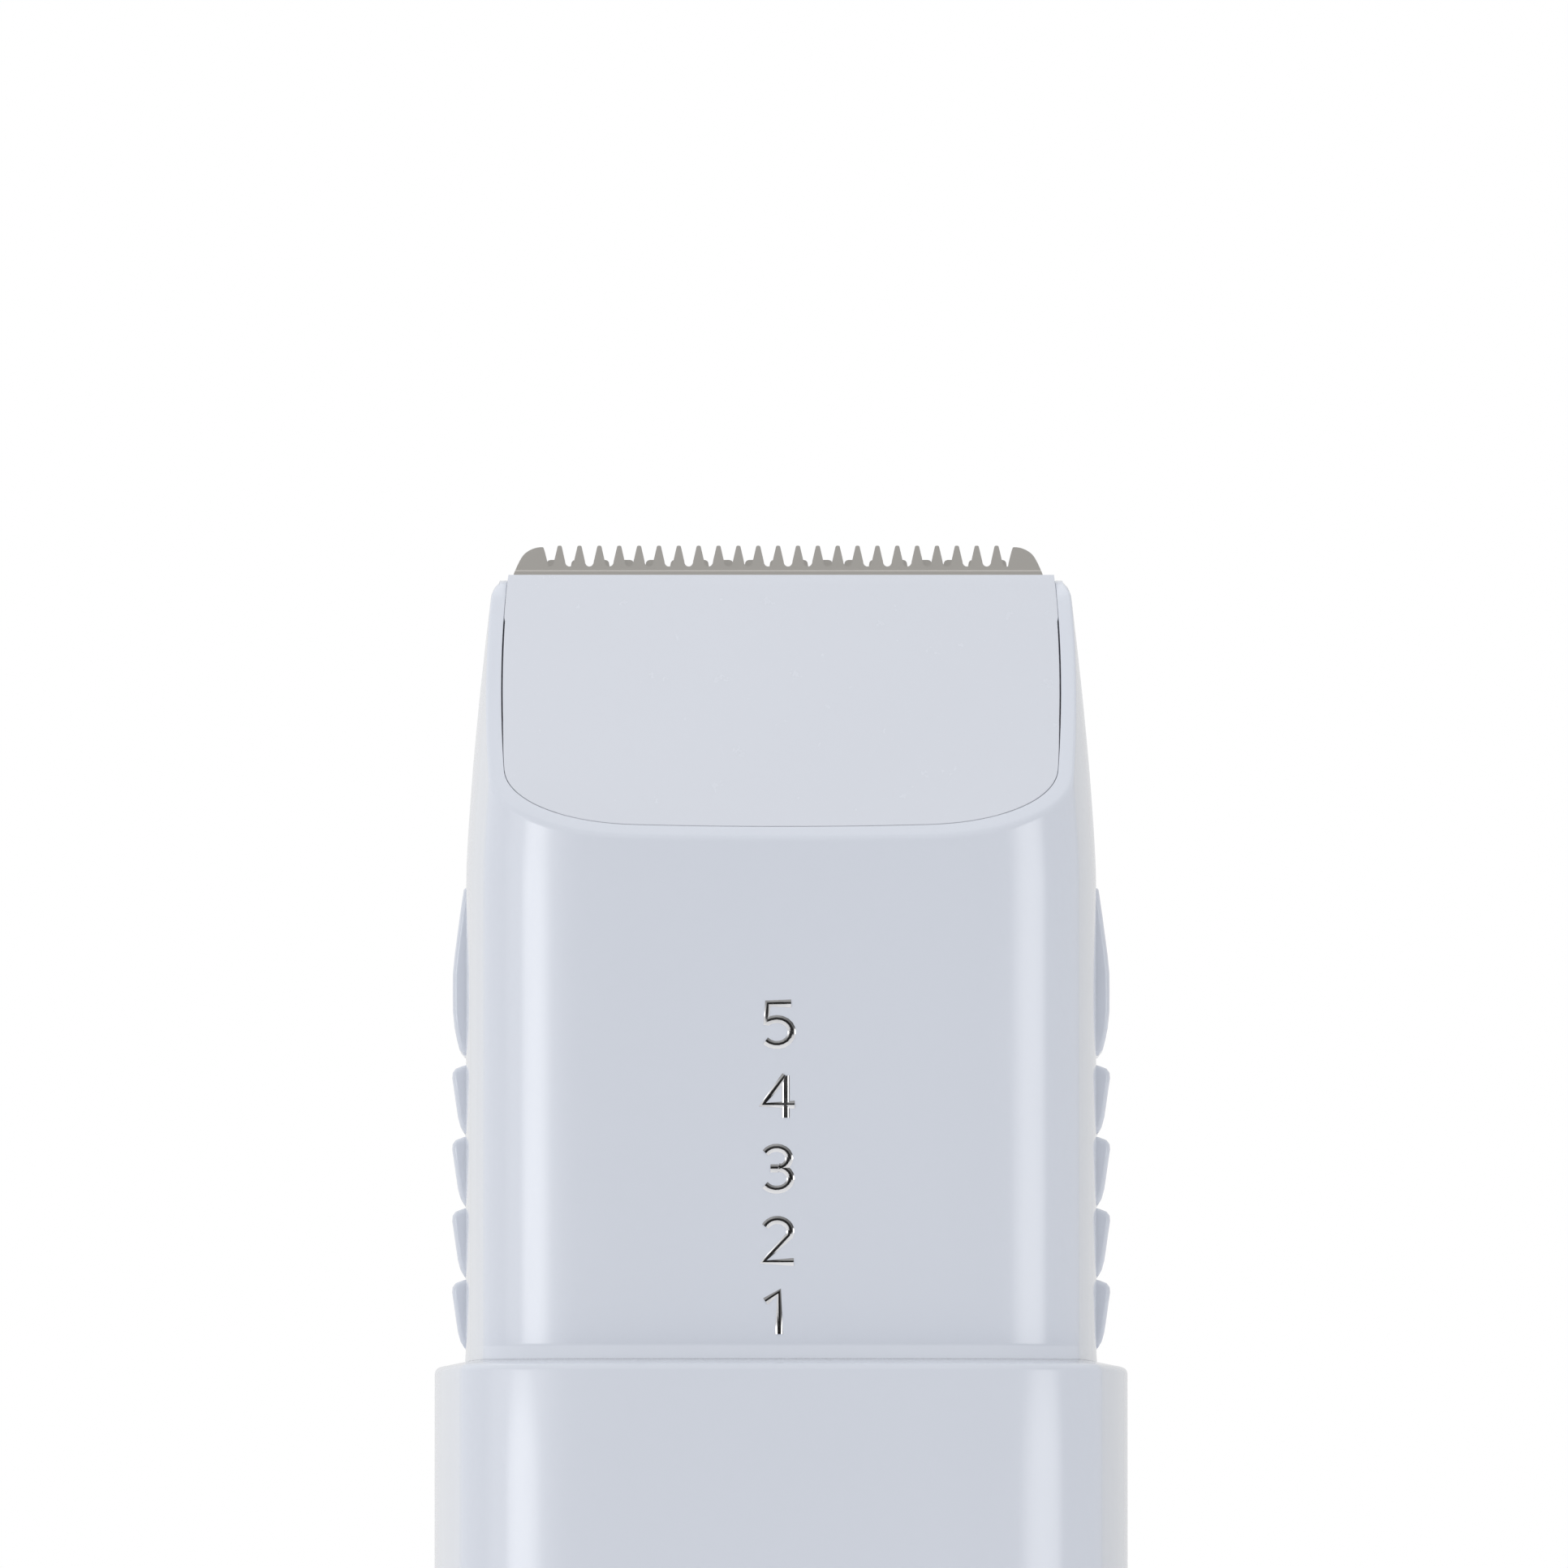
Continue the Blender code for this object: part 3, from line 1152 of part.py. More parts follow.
def blade_carrier(finish):
    """The plastic yoke that holds the cutter and straddles the eccentric's pin."""
    park = parked_x()
    front = cutter_back() - SLIP
    back = front - CARRIER_PLATE
    half = CARRIER_HALF_WIDTH
    plate_low = (park - half, -CARRIER_SET_BACK - CARRIER_LENGTH, back)
    carrier = slope_box("blade_carrier", plate_low, (park + half, -CARRIER_SET_BACK, front), finish)
    inner = PIN_RADIUS + 2 * STROKE + FIT + 0.2 * MM
    outer = inner + FORK_WALL
    foot = CAM_TOP_Z + 3 * FIT
    bridge = bridge_foot_z()
    web_half = outer - 0.6 * MM
    plate_middle = slope_point(0, -CARRIER_SET_BACK - 0.55 * CARRIER_LENGTH, (front + back) / 2)
    web_back = plate_middle.y + 1.8 * MM
    web_front = plate_middle.y - 0.2 * MM
    web_low = (park - web_half, web_front, bridge)
    join(carrier, box("web", web_low, (park + web_half, web_back, plate_middle.z), finish))
    yoke_front = min(-FORK_FRONT, web_front)
    yoke = box("yoke", (park - outer, yoke_front, foot), (park + outer, FORK_REACH, bridge + 2 * MM), finish)
    slot_low = (park - inner, yoke_front - MM, foot - MM)
    cut(yoke, box("slot", slot_low, (park + inner, FORK_REACH + MM, bridge), finish))
    return join(carrier, yoke)


def block_frame(finish):
    """A three-sided frame behind the panel, with two fingers that keep its foot behind the front wall."""
    half = blade_half_width() - 1.2 * MM
    top = -FIXED_LENGTH + 3.4 * MM
    foot = -0.83 * PANEL_LENGTH
    front = -PANEL_PLATE - SLIP
    back = front - FRAME_HEIGHT
    frame = slope_box("block_frame", (-half, foot, back), (half, foot + FRAME_BAR, front), finish)
    for side in (-1, 1):
        x0, x1 = sorted((side * half, side * (half - FRAME_BAR)))
        join(frame, slope_box("bar", (x0, foot, back), (x1, -FIXED_LENGTH - 2 * FIT, front), finish))
        upper_foot = (x0, -FIXED_LENGTH - FRAME_BAR, back)
        join(frame, slope_box("upper_bar", upper_foot, (x1, top, fixed_back() - 4 * SLIP), finish))
        x0, x1 = side * half / 2 - 1.5 * MM, side * half / 2 + 1.5 * MM
        arm_foot = -PANEL_LENGTH + 3 * FIT
        arm_back = front - ARM_THICKNESS
        join(frame, slope_box("arm", (x0, arm_foot, arm_back), (x1, foot + FRAME_BAR / 2, front), finish))
        hook_front = -NECK_HALF_DEPTH + HEAD_WALL + FIT
        hook_back = slope_point(0, arm_foot, arm_back).y
        hook_top = PANEL_TOP.z + (front - SLOPE_N.y * (hook_front - PANEL_TOP.y)) / SLOPE_N.z
        hook_low = (x0 + FIT, hook_front, hook_top - HOOK_LENGTH)
        join(frame, box("hook", hook_low, (x1 - FIT, hook_back, hook_top), finish))
    return frame


def blade_spring(finish):
    """A bent wire whose two arms press the carrier against the fixed blade."""
    back = cutter_back() - SLIP - CARRIER_PLATE
    t = back - SLIP - SPRING_WIRE / 2
    arm = CARRIER_HALF_WIDTH - 0.7 * MM
    loop = -0.83 * PANEL_LENGTH + FRAME_BAR + FIT + SPRING_WIRE / 2
    bow = CARRIER_HALF_WIDTH + 3.2 * MM
    half = [(arm, -CARRIER_SET_BACK - 1.5 * MM), (arm + 0.3 * MM, -CARRIER_SET_BACK - 4 * MM)]
    half += [(bow, loop + 3.2 * MM), (bow, loop + 1.2 * MM), (bow - 1.2 * MM, loop), (bow / 3, loop)]
    route = half + [(-x, s) for x, s in reversed(half)]
    curve = bpy.data.curves.new("blade_spring", "CURVE")
    curve.dimensions = "3D"
    curve.bevel_depth = SPRING_WIRE / 2
    curve.bevel_resolution = 1
    curve.use_fill_caps = True
    curve.resolution_u = 4
    spline = curve.splines.new("NURBS")
    spline.points.add(len(route) - 1)
    spline.order_u = 3
    spline.use_endpoint_u = True
    for point, (x, s) in zip(spline.points, route):
        point.co = (*slope_point(x, s, t), 1)
    curve.materials.append(finish)
    obj = bpy.data.objects.new("blade_spring", curve)
    bpy.context.scene.collection.objects.link(obj)
    return obj


# ---------------------------------------------------------------- the clipper


def build():
    clear_scene()
    white = material("white_gloss_plastic", (0.80, 0.82, 0.86), 0.16)
    panel_white = material("panel_white", (0.82, 0.84, 0.88), 0.22)
    steel = material("blade_steel", (0.56, 0.54, 0.51), 0.32, 1.0)
    bright = material("bright_steel", (0.72, 0.72, 0.73), 0.25, 1.0)
    grey = material("inner_grey_plastic", (0.42, 0.44, 0.47), 0.5)
    dark = material("black_plastic", (0.04, 0.04, 0.045), 0.45)
    green = material("board_green", (0.06, 0.22, 0.11), 0.4)
    brass = material("brass", (0.78, 0.62, 0.3), 0.3, 1.0)
    copper = material("copper_winding", (0.72, 0.36, 0.2), 0.35, 1.0)
    ferrite = material("ferrite", (0.09, 0.09, 0.1), 0.7)
    rubber = material("seal_rubber", (0.05, 0.05, 0.055), 0.75)
    red = material("lead_red", (0.6, 0.05, 0.04), 0.45)
    cell_wrap = material("cell_wrap", (0.1, 0.16, 0.34), 0.3)

    head_shell(white)
    grip_sleeve(white)
    base_cap(white)
    chassis(grey)
    for name, spot in zip(("cell_left", "cell_right"), cell_spots()):
        cell(name, spot, cell_wrap)
    for name, spot in zip(("cell_spring_left", "cell_spring_right"), cell_spots()):
        cell_spring(name, spot, bright)
    contacts(bright)
    switch_parts(white, dark, green, bright)
    leads(red, dark)
    motor(bright, copper, ferrite, dark, brass)
    seals(rubber)
    for name, x in (("neck_screw_left", -neck_screw_x()), ("neck_screw_right", neck_screw_x())):
        head_z = post_foot_z() - FIT - PLATE - FIT - SCREW_HEAD_HEIGHT
        screw(name, (x, 0), head_z, NECK_SCREW_LENGTH, bright)
    for name, spot in zip(("base_screw_left", "base_screw_right"), base_screw_spots()):
        screw(name, spot, 0.2 * MM, BASE_SCREW_LENGTH, bright)
    on_axis("door_slide", (0, GRIP_DEPTH / 2, GRIP_LIFT), cell_door(white))

    spring = blade_spring(bright)
    hinge = on_axis("block_hinge", HINGE_POINT, blade_panel(panel_white), fixed_blade(steel), block_frame(grey))
    spring.parent = hinge
    spring.location = -HINGE_POINT
    cutter_point = slope_point(parked_x(), 0, cutter_back())
    on_axis("cutter_slide", cutter_point, moving_blade(steel), blade_carrier(grey))


build()
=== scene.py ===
"""Battery hair clipper: the finished look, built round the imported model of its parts."""

import json
import math

import bmesh
import bpy
import numpy as np
from bpy.props import FloatProperty, FloatVectorProperty, IntProperty, PointerProperty
from mathutils import Matrix, Vector


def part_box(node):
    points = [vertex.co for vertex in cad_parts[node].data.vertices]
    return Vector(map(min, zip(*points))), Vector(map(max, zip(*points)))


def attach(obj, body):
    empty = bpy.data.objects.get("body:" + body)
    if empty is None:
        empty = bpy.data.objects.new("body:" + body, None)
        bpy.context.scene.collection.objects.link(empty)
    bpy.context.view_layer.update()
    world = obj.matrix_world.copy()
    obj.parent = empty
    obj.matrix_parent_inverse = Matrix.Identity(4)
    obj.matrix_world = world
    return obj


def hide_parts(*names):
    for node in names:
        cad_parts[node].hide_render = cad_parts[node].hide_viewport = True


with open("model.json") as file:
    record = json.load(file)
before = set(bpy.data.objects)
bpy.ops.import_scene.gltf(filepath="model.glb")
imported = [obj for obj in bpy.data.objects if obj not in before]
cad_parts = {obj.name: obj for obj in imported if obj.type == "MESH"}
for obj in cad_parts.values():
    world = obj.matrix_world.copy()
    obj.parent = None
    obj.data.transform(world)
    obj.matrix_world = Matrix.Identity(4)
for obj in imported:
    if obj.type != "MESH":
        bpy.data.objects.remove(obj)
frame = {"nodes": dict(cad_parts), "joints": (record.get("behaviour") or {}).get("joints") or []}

bl_info = {
    "name": "Battery Hair Clipper",
    "version": (1, 0, 0),
    "blender": (4, 5, 0),
    "location": "3D View > Sidebar > Clipper",
    "description": "Builds a slim battery hair clipper piece by piece",
    "category": "Object",
}

MM = 0.001
HOUSING, BLOCK, CUTTER, SWITCH, DOOR = "housing", "block", "cutter", "switch", "door"


def corners(box):
    """A box's low and high corner."""
    return [Vector(corner) for corner in box]


SLEEVE_LOW, SLEEVE_HIGH = corners(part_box("grip_sleeve"))
SHELL_LOW, SHELL_HIGH = corners(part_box("head_shell"))
DOOR_LOW, DOOR_HIGH = corners(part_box("cell_door"))
SLIDER_LOW, SLIDER_HIGH = corners(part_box("power_slider"))
CUTTER_LOW, CUTTER_HIGH = corners(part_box("moving_blade"))
PANEL_TOP_Z = corners(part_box("blade_panel"))[1].z
BLADE_HALF = corners(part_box("fixed_blade"))[1].x
CAP_Z = corners(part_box("base_cap"))[0].z
SCREW_BOXES = [corners(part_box(name)) for name in ("base_screw_left", "base_screw_right")]
HINGE = Vector(next(joint["pos_m"] for joint in frame["joints"] if joint["name"] == "block_hinge"))

HAIRLINE = 0.001 * MM
SMALLEST_CORNER = 0.6 * MM
FOOT_GAP = 0.008 * MM
NECK_OPENING_IN = 1.7 * MM
NECK_OPENING_DEPTH = 2.2 * MM
FOOT_SIDE_SHARE = 0.1
SKIRT_IN, SKIRT_WALL = 2.0 * MM, 1.4 * MM
RIM_INNER_ROUND = 0.045 * MM
RACK_FRONT, RACK_BACK = 0.2 * MM, 6.8 * MM
NUMBER_X, LOWEST_NUMBER = -0.17 * MM, 2.52 * MM
POCKET_GAP, SLIDER_STROKE = 0.22 * MM, 4 * MM
STEM_HALF = 1.6 * MM
DOOR_FRAME_IN = 11.2 * MM
BASE_ROUND = 1.0 * MM
DOOR_HALF = 12.6 * MM
DOOR_CORNER = 3.0 * MM
CREASE_LOW, CREASE_HIGH, CREASE_DEPTH = 0.72 * MM, 0.82 * MM, 0.036 * MM
TOOTH_WELD = 0.003 * MM


def length(name, default, description):
    """A length given in millimetres, kept in metres and shown in the scene's own unit."""
    return FloatProperty(
        name=name,
        description=description,
        default=default * MM,
        min=0.0,
        precision=5,
        subtype="DISTANCE",
        unit="LENGTH",
    )


def number(name, default, low, high, description):
    """A whole number."""
    return IntProperty(name=name, description=description, default=default, min=low, max=high)


def colour(name, default, description):
    """A linear colour."""
    return FloatVectorProperty(
        name=name, description=description, default=default, size=3, min=0.0, max=1.0, subtype="COLOR"
    )


class ClipperHousingSizes(bpy.types.PropertyGroup):
    """Sizes of the head shell, the grip sleeve and what is set in them."""

    neck_corner: length("Neck Corner", 6.1, "Radius of the neck's back corners")
    neck_front_corner: length("Neck Front Corner", 8.75, "Width of the neck's front corners")
    neck_crown: length("Neck Crown", 0.3, "How far the neck's front bulges in the middle")
    neck_draft: length("Neck Draft", 1.43, "How much each side of the neck draws in towards the front")
    side_bow: length("Side Bow", 0.12, "How far the drawn-in sides bow out behind the front corners")
    neck_foot_height: length("Neck Foot Height", 0.74, "Height of the flare where the neck meets the ledge")
    neck_foot_flare: length("Neck Foot Flare", 0.45, "How far the neck's front flares out at its foot")
    grip_corner: length("Grip Corner", 6.8, "Radius of the grip's back corners")
    grip_front_corner: length("Grip Front Corner", 10.2, "Width of the grip's front corners")
    grip_crown: length("Grip Crown", 0.4, "How far the grip's front and back bulge in the middle")
    grip_draft: length("Grip Draft", 2.1, "How much each side of the grip draws in towards the front")
    grip_wall: length("Grip Wall", 1.8, "Wall of the grip sleeve")
    ledge_width: length("Ledge Width", 1.75, "Ledge left on each side of the neck")
    ledge_depth: length("Ledge Depth", 2.1, "Ledge left in front of the neck and behind it")
    ledge_rise: length("Ledge Rise", 0.24, "How far the ledge slopes up from its edge to the neck")
    ledge_round: length("Ledge Round", 0.42, "Rounding of the ledge's outer edge")
    head_wall: length("Head Wall", 1.7, "Wall of the head shell")
    head_taper: length("Head Taper", 1.5, "How much each side of the head draws in towards its top")
    back_lean: length("Back Lean", 8.0, "How far the back of the head comes forward at its top")
    back_start: length("Back Start", 12.0, "Height above the ledge where the back starts to lean")
    top_round: length("Top Round", 1.3, "Rounding of the head's top edge")
    rim_width: length("Rim Width", 0.8, "Rim left beside the blade panel")
    rim_foot: length("Rim Foot", 0.5, "Rim left below the blade panel, measured front to back")
    rim_depth: length("Rim Depth", 1.8, "Depth of the seat that the blade panel lies in")
    rim_round: length("Rim Round", 0.16, "Rounding of the rim's outer edge")
    panel_gap: length("Panel Gap", 0.008, "Gap round the blade panel where it is tight")
    side_gap: length("Side Gap", 0.075, "Gap beside the blade panel where it stands off")
    rack_pitch: length("Rack Pitch", 4.0, "Distance between two comb settings")
    rack_teeth: number("Rack Teeth", 4, 1, 12, "Ratchet teeth on each side")
    number_height: length("Number Height", 2.8, "Height of the printed comb numbers")
    number_stroke: length("Number Stroke", 0.47, "Stroke width of the printed comb numbers")


class ClipperBladeSizes(bpy.types.PropertyGroup):
    """Sizes of the blades and their panel."""

    slope: FloatProperty(
        name="Slope",
        description="Angle of the blade block from upright",
        default=math.radians(38.0),
        subtype="ANGLE",
        unit="ROTATION",
    )
    panel_plate: length("Panel Plate", 1.4, "Thickness of the blade panel")
    panel_skin: length("Panel Skin", 0.5, "Thickness of the panel over the blades")
    fixed_thickness: length("Fixed Thickness", 0.6, "Thickness of the fixed blade")
    fixed_reach: length("Fixed Reach", 2.64, "How far the fixed teeth reach past the panel")
    fixed_length: length("Fixed Length", 9.0, "Length of the fixed blade under the panel")
    fixed_pitch: length("Fixed Pitch", 1.112, "Distance between two fixed teeth")
    fixed_teeth: number("Fixed Teeth", 23, 3, 60, "Teeth of the fixed blade")
    tooth_length: length("Tooth Length", 1.54, "Length of a fixed tooth")
    tip_width: length("Tip Width", 0.19, "Width of a fixed tooth at its tip")
    root_width: length("Root Width", 0.62, "Width of a fixed tooth above its rounded valley")
    blade_offset: length("Blade Offset", 0.17, "How far the fixed blade is staked off to the left")
    cutter_thickness: length("Cutter Thickness", 0.5, "Thickness of the moving blade")
    cutter_reach: length("Cutter Reach", 2.18, "How far the moving teeth reach past the panel")
    cutter_length: length("Cutter Length", 5.0, "Length of the moving blade under the panel")
    cutter_pitch: length("Cutter Pitch", 1.39, "Distance between two moving teeth")
    cutter_teeth: number("Cutter Teeth", 19, 3, 60, "Teeth of the moving blade")
    slip: length("Slip", 0.12, "Space between faces that slide over each other")


class ClipperColours(bpy.types.PropertyGroup):
    """Colours of the finishes."""

    housing: colour("Housing", (0.70, 0.735, 0.81), "Gloss plastic of the housing")
    panel: colour("Panel", (0.69, 0.718, 0.783), "Plastic of the blade panel")
    blade: colour("Blade", (0.268, 0.232, 0.202), "Ground steel of the blades")
    foil: colour("Foil", (0.86, 0.86, 0.87), "Bright foil of the numbers")
    inner: colour("Inner Plastic", (0.28, 0.30, 0.33), "Plastic of the inner pieces")
    cell: colour("Cell Film", (0.06, 0.11, 0.27), "Film round the cells")


def housing_sizes():
    return bpy.context.scene.clipper_housing


def blade_sizes():
    return bpy.context.scene.clipper_blades


def colours():
    return bpy.context.scene.clipper_colours


# ---------------------------------------------------------------- node helpers


EFFECTS = {"Colour": "NodeSocketColor", "Roughness": "NodeSocketFloat", "Normal": "NodeSocketVector"}


def new_group(name, inputs):
    """A shader node group that puts out a material's effects, what it is given, and its output sockets."""
    group = bpy.data.node_groups.new(name, "ShaderNodeTree")
    for socket, default in inputs.items():
        size = len(default) if isinstance(default, tuple) else 1
        kind = {1: "NodeSocketFloat", 3: "NodeSocketVector", 4: "NodeSocketColor"}[size]
        group.interface.new_socket(socket, in_out="INPUT", socket_type=kind).default_value = default
    for socket, kind in EFFECTS.items():
        group.interface.new_socket(socket, in_out="OUTPUT", socket_type=kind)
    given = group.nodes.new("NodeGroupInput").outputs
    return group, given, group.nodes.new("NodeGroupOutput").inputs


def feed(tree, values, sockets):
    """Gives each named socket its value: another socket is wired in, and anything else is set."""
    for name, value in values.items():
        if isinstance(value, bpy.types.NodeSocket):
            tree.links.new(value, sockets[name])
        else:
            sockets[name].default_value = value


def add(tree, kind, values=None, **settings):
    """A node with its own settings, and its sockets fed."""
    node = tree.nodes.new(kind)
    for name, value in settings.items():
        setattr(node, name, value)
    feed(tree, values or {}, node.inputs)
    return node


def place_in(tree, kind="Object"):
    """The object's own coordinates, or another kind."""
    return add(tree, "ShaderNodeTexCoord").outputs[kind]


def stretched(tree, scale):
    """Object coordinates stretched by a scale."""
    return add(tree, "ShaderNodeMapping", {"Scale": scale, "Vector": place_in(tree)}).outputs["Vector"]


def noise(tree, place, scale, detail, roughness):
    """A noise between 0 and 1."""
    values = {"Vector": place, "Scale": scale, "Detail": detail, "Roughness": roughness}
    return add(tree, "ShaderNodeTexNoise", values).outputs["Fac"]


def maths(tree, operation, *values):
    """What a math node makes of its values."""
    return add(tree, "ShaderNodeMath", dict(enumerate(values)), operation=operation).outputs[0]


def mixed(tree, share, first, second):
    """One value or another, by a share between 0 and 1."""
    return add(tree, "ShaderNodeMix", {0: share, 2: first, 3: second}, data_type="FLOAT").outputs[0]


def ramp(tree, value, stops, **settings):
    """A value taken from one range to another. stops gives the first range and then the second."""
    names = ("From Min", "From Max", "To Min", "To Max")
    values = {"Value": value, **dict(zip(names, stops))}
    return add(tree, "ShaderNodeMapRange", values, **settings).outputs["Result"]


def scaled(tree, colour_socket, factor):
    """A colour times a factor."""
    values = {0: colour_socket, "Scale": factor}
    return add(tree, "ShaderNodeVectorMath", values, operation="SCALE").outputs[0]


def uneven(tree, height, strength, distance):
    """A normal that follows a height."""
    values = {"Height": height, "Strength": strength, "Distance": distance}
    return add(tree, "ShaderNodeBump", values).outputs["Normal"]


def moulded_skin_group():
    """Injection-moulded plastic: faint flow shades, a fine orange peel, and handling marks in the gloss."""
    inputs = {"Colour": (0.7, 0.7, 0.7, 1), "Flow": 0.02, "Roughness": 0.2}
    inputs |= {"Marks": 0.05, "Peel": 0.1, "Grain": 700.0}
    group, given, effects = new_group("moulded_skin", inputs)
    flow = noise(group, stretched(group, (1.6, 1.6, 0.5)), 55.0, 3.0, 0.5)
    shade = maths(group, "MULTIPLY_ADD", maths(group, "SUBTRACT", flow, 0.5), given["Flow"], 1.0)
    marks = noise(group, stretched(group, (1.0, 1.0, 0.12)), 900.0, 4.0, 0.65)
    lift = ramp(group, marks, (0.52, 0.75, 0.0, 1.0))
    peel = noise(group, stretched(group, (1.0, 1.0, 1.0)), given["Grain"], 2.0, 0.45)
    made = {
        "Colour": scaled(group, given["Colour"], shade),
        "Roughness": maths(group, "MULTIPLY_ADD", lift, given["Marks"], given["Roughness"]),
        "Normal": uneven(group, peel, given["Peel"], 0.02 * MM),
    }
    feed(group, made, effects)
    return group


def ground_metal_group():
    """Ground or drawn metal: fine streaks in the colour, the gloss and the surface, and a few stains."""
    inputs = {"Colour": (0.5, 0.5, 0.5, 1), "Streaks": 0.25, "Roughness": 0.3}
    inputs |= {"Stretch": (60.0, 9000.0, 9000.0), "Depth": 0.3, "Stain": 0.1}
    group, given, effects = new_group("ground_metal", inputs)
    drawn = {0: place_in(group), 1: given["Stretch"]}
    drawn = add(group, "ShaderNodeVectorMath", drawn, operation="MULTIPLY").outputs[0]
    streak = noise(group, drawn, 1.0, 3.0, 0.6)
    centre = maths(group, "SUBTRACT", streak, 0.5)
    patch = ramp(group, noise(group, place_in(group), 420.0, 3.0, 0.6), (0.5, 0.72, 0.0, 1.0))
    dull = maths(group, "MULTIPLY", patch, given["Stain"])
    shade = maths(group, "SUBTRACT", maths(group, "MULTIPLY_ADD", centre, given["Streaks"], 1.0), dull)
    made = {
        "Colour": scaled(group, given["Colour"], shade),
        "Roughness": maths(group, "MULTIPLY_ADD", centre, 0.35, given["Roughness"]),
        "Normal": uneven(group, streak, given["Depth"], 0.01 * MM),
    }
    feed(group, made, effects)
    return group


def finish(name, builder, group_name, values, **shader_values):
    """A material whose Principled shader takes colour, roughness and normal from a shared group."""
    known = bpy.data.materials.get(name)
    if known:
        return known
    made = bpy.data.materials.new(name)
    made.use_nodes = True
    tree = made.node_tree
    group = bpy.data.node_groups.get(group_name) or builder()
    effect = add(tree, "ShaderNodeGroup", node_tree=group)
    feed(tree, values, effect.inputs)
    values = {"Base Color": effect.outputs["Colour"]}
    values |= {socket: effect.outputs[socket] for socket in ("Roughness", "Normal")}
    values |= {socket.replace("_", " "): value for socket, value in shader_values.items()}
    feed(tree, values, tree.nodes["Principled BSDF"].inputs)
    return made


def plastic(name, tint, roughness, flow=0.02, marks=0.04, peel=0.08, grain=700.0, **shader_values):
    values = {"Colour": (*tint, 1), "Flow": flow, "Roughness": roughness}
    values |= {"Marks": marks, "Peel": peel, "Grain": grain}
    return finish(name, moulded_skin_group, "moulded_skin", values, **shader_values)


def metal(name, tint, roughness, streaks=0.2, stretch=(60.0, 9000.0, 9000.0), depth=0.3, stain=0.1):
    values = {"Colour": (*tint, 1), "Streaks": streaks, "Roughness": roughness}
    values |= {"Stretch": stretch, "Depth": depth, "Stain": stain}
    return finish(name, ground_metal_group, "ground_metal", values, Metallic=1.0)


def housing_plastic():
    coat = {"Coat_Weight": 0.5, "Coat_Roughness": 0.04}
    return plastic("housing_gloss", tuple(colours().housing), 0.13, IOR=1.5, **coat)


def panel_plastic():
    return plastic("panel_gloss", tuple(colours().panel), 0.26, flow=0.02, marks=0.02, peel=0.02, IOR=1.5)


def blade_steel():
    return metal("blade_steel", tuple(colours().blade), 0.36, streaks=0.35, depth=0.5, stain=0.14)


def foil():
    tint, even = tuple(colours().foil), (300.0, 300.0, 300.0)
    return metal("number_foil", tint, 0.1, streaks=0.05, stretch=even, depth=0.05, stain=0.25)


def screw_steel():
    even = (900.0, 900.0, 900.0)
    return metal("plated_steel", (0.62, 0.62, 0.63), 0.26, streaks=0.12, stretch=even, depth=0.1)


# ---------------------------------------------------------------- mesh helpers


def link(name, data):
    """An object of its own for a mesh, a light or a camera."""
    obj = bpy.data.objects.new(name, data)
    bpy.context.scene.collection.objects.link(obj)
    return obj


def mesh_from(name, points, faces):
    mesh = bpy.data.meshes.new(name)
    mesh.from_pydata([tuple(map(float, p)) for p in points], [], faces)
    mesh.validate()
    return mesh


def loft(name, rings, closed=True):
    """Skins rings of equal point counts, each counter-clockwise seen from where the loft goes.

    A closed loft ends in its first ring, and an open one is capped."""
    count = len(rings[0])
    points = [p for ring in rings for p in ring]
    faces = []
    for row in range(len(rings) if closed else len(rings) - 1):
        low, high = row * count, (row + 1) % len(rings) * count
        faces += [(low + i, low + (i + 1) % count, high + (i + 1) % count, high + i) for i in range(count)]
    if not closed:
        faces.append(tuple(range(count))[::-1])
        faces.append(tuple(range((len(rings) - 1) * count, len(rings) * count)))
    return link(name, mesh_from(name, points, faces))


def bake_modifiers(obj):
    """Turns an object's modifiers into its plain mesh."""
    graph = bpy.context.evaluated_depsgraph_get()
    made = bpy.data.meshes.new_from_object(obj.evaluated_get(graph))
    obj.modifiers.clear()
    made.name = obj.data.name
    obj.data = made
    return obj


def cut(obj, other):
    """Takes another object out of an object. The other one is used up."""
    modifier = obj.modifiers.new("Cut", "BOOLEAN")
    modifier.operation = "DIFFERENCE"
    modifier.object = other
    bake_modifiers(obj)
    bpy.data.objects.remove(other, do_unlink=True)
    return obj


def bevelled(obj, width, segments=3):
    """Rounds an object's edges that are sharper than 40 degrees."""
    modifier = obj.modifiers.new("Bevel", "BEVEL")
    modifier.width = width
    modifier.segments = segments
    modifier.limit_method = "ANGLE"
    modifier.angle_limit = math.radians(40.0)
    return bake_modifiers(obj)


def prism(name, outline, place, low, high):
    """A closed outline of pairs between two levels; place(pair, level) gives the point."""
    rings = [[place(pair, level) for pair in outline] for level in (low, high)]
    return loft(name, rings, closed=False)


def softened(points):
    """An open line of points with its corners cut off twice, its ends kept."""
    for _ in range(2):
        line = [points[0]]
        for (x0, y0), (x1, y1) in zip(points, points[1:]):
            line.append((0.75 * x0 + 0.25 * x1, 0.75 * y0 + 0.25 * y1))
            line.append((0.25 * x0 + 0.75 * x1, 0.25 * y0 + 0.75 * y1))
        points = line + [points[-1]]
    return points


def upright(pair, level):
    return (pair[0], pair[1], level)


def facing(pair, level):
    return (pair[0], level, pair[1])


def sideways(pair, level):
    return (level, pair[0], pair[1])


def block(name, low, high):
    """A box between two corners."""
    outline = [(low[0], low[1]), (high[0], low[1]), (high[0], high[1]), (low[0], high[1])]
    return prism(name, outline, upright, low[2], high[2])


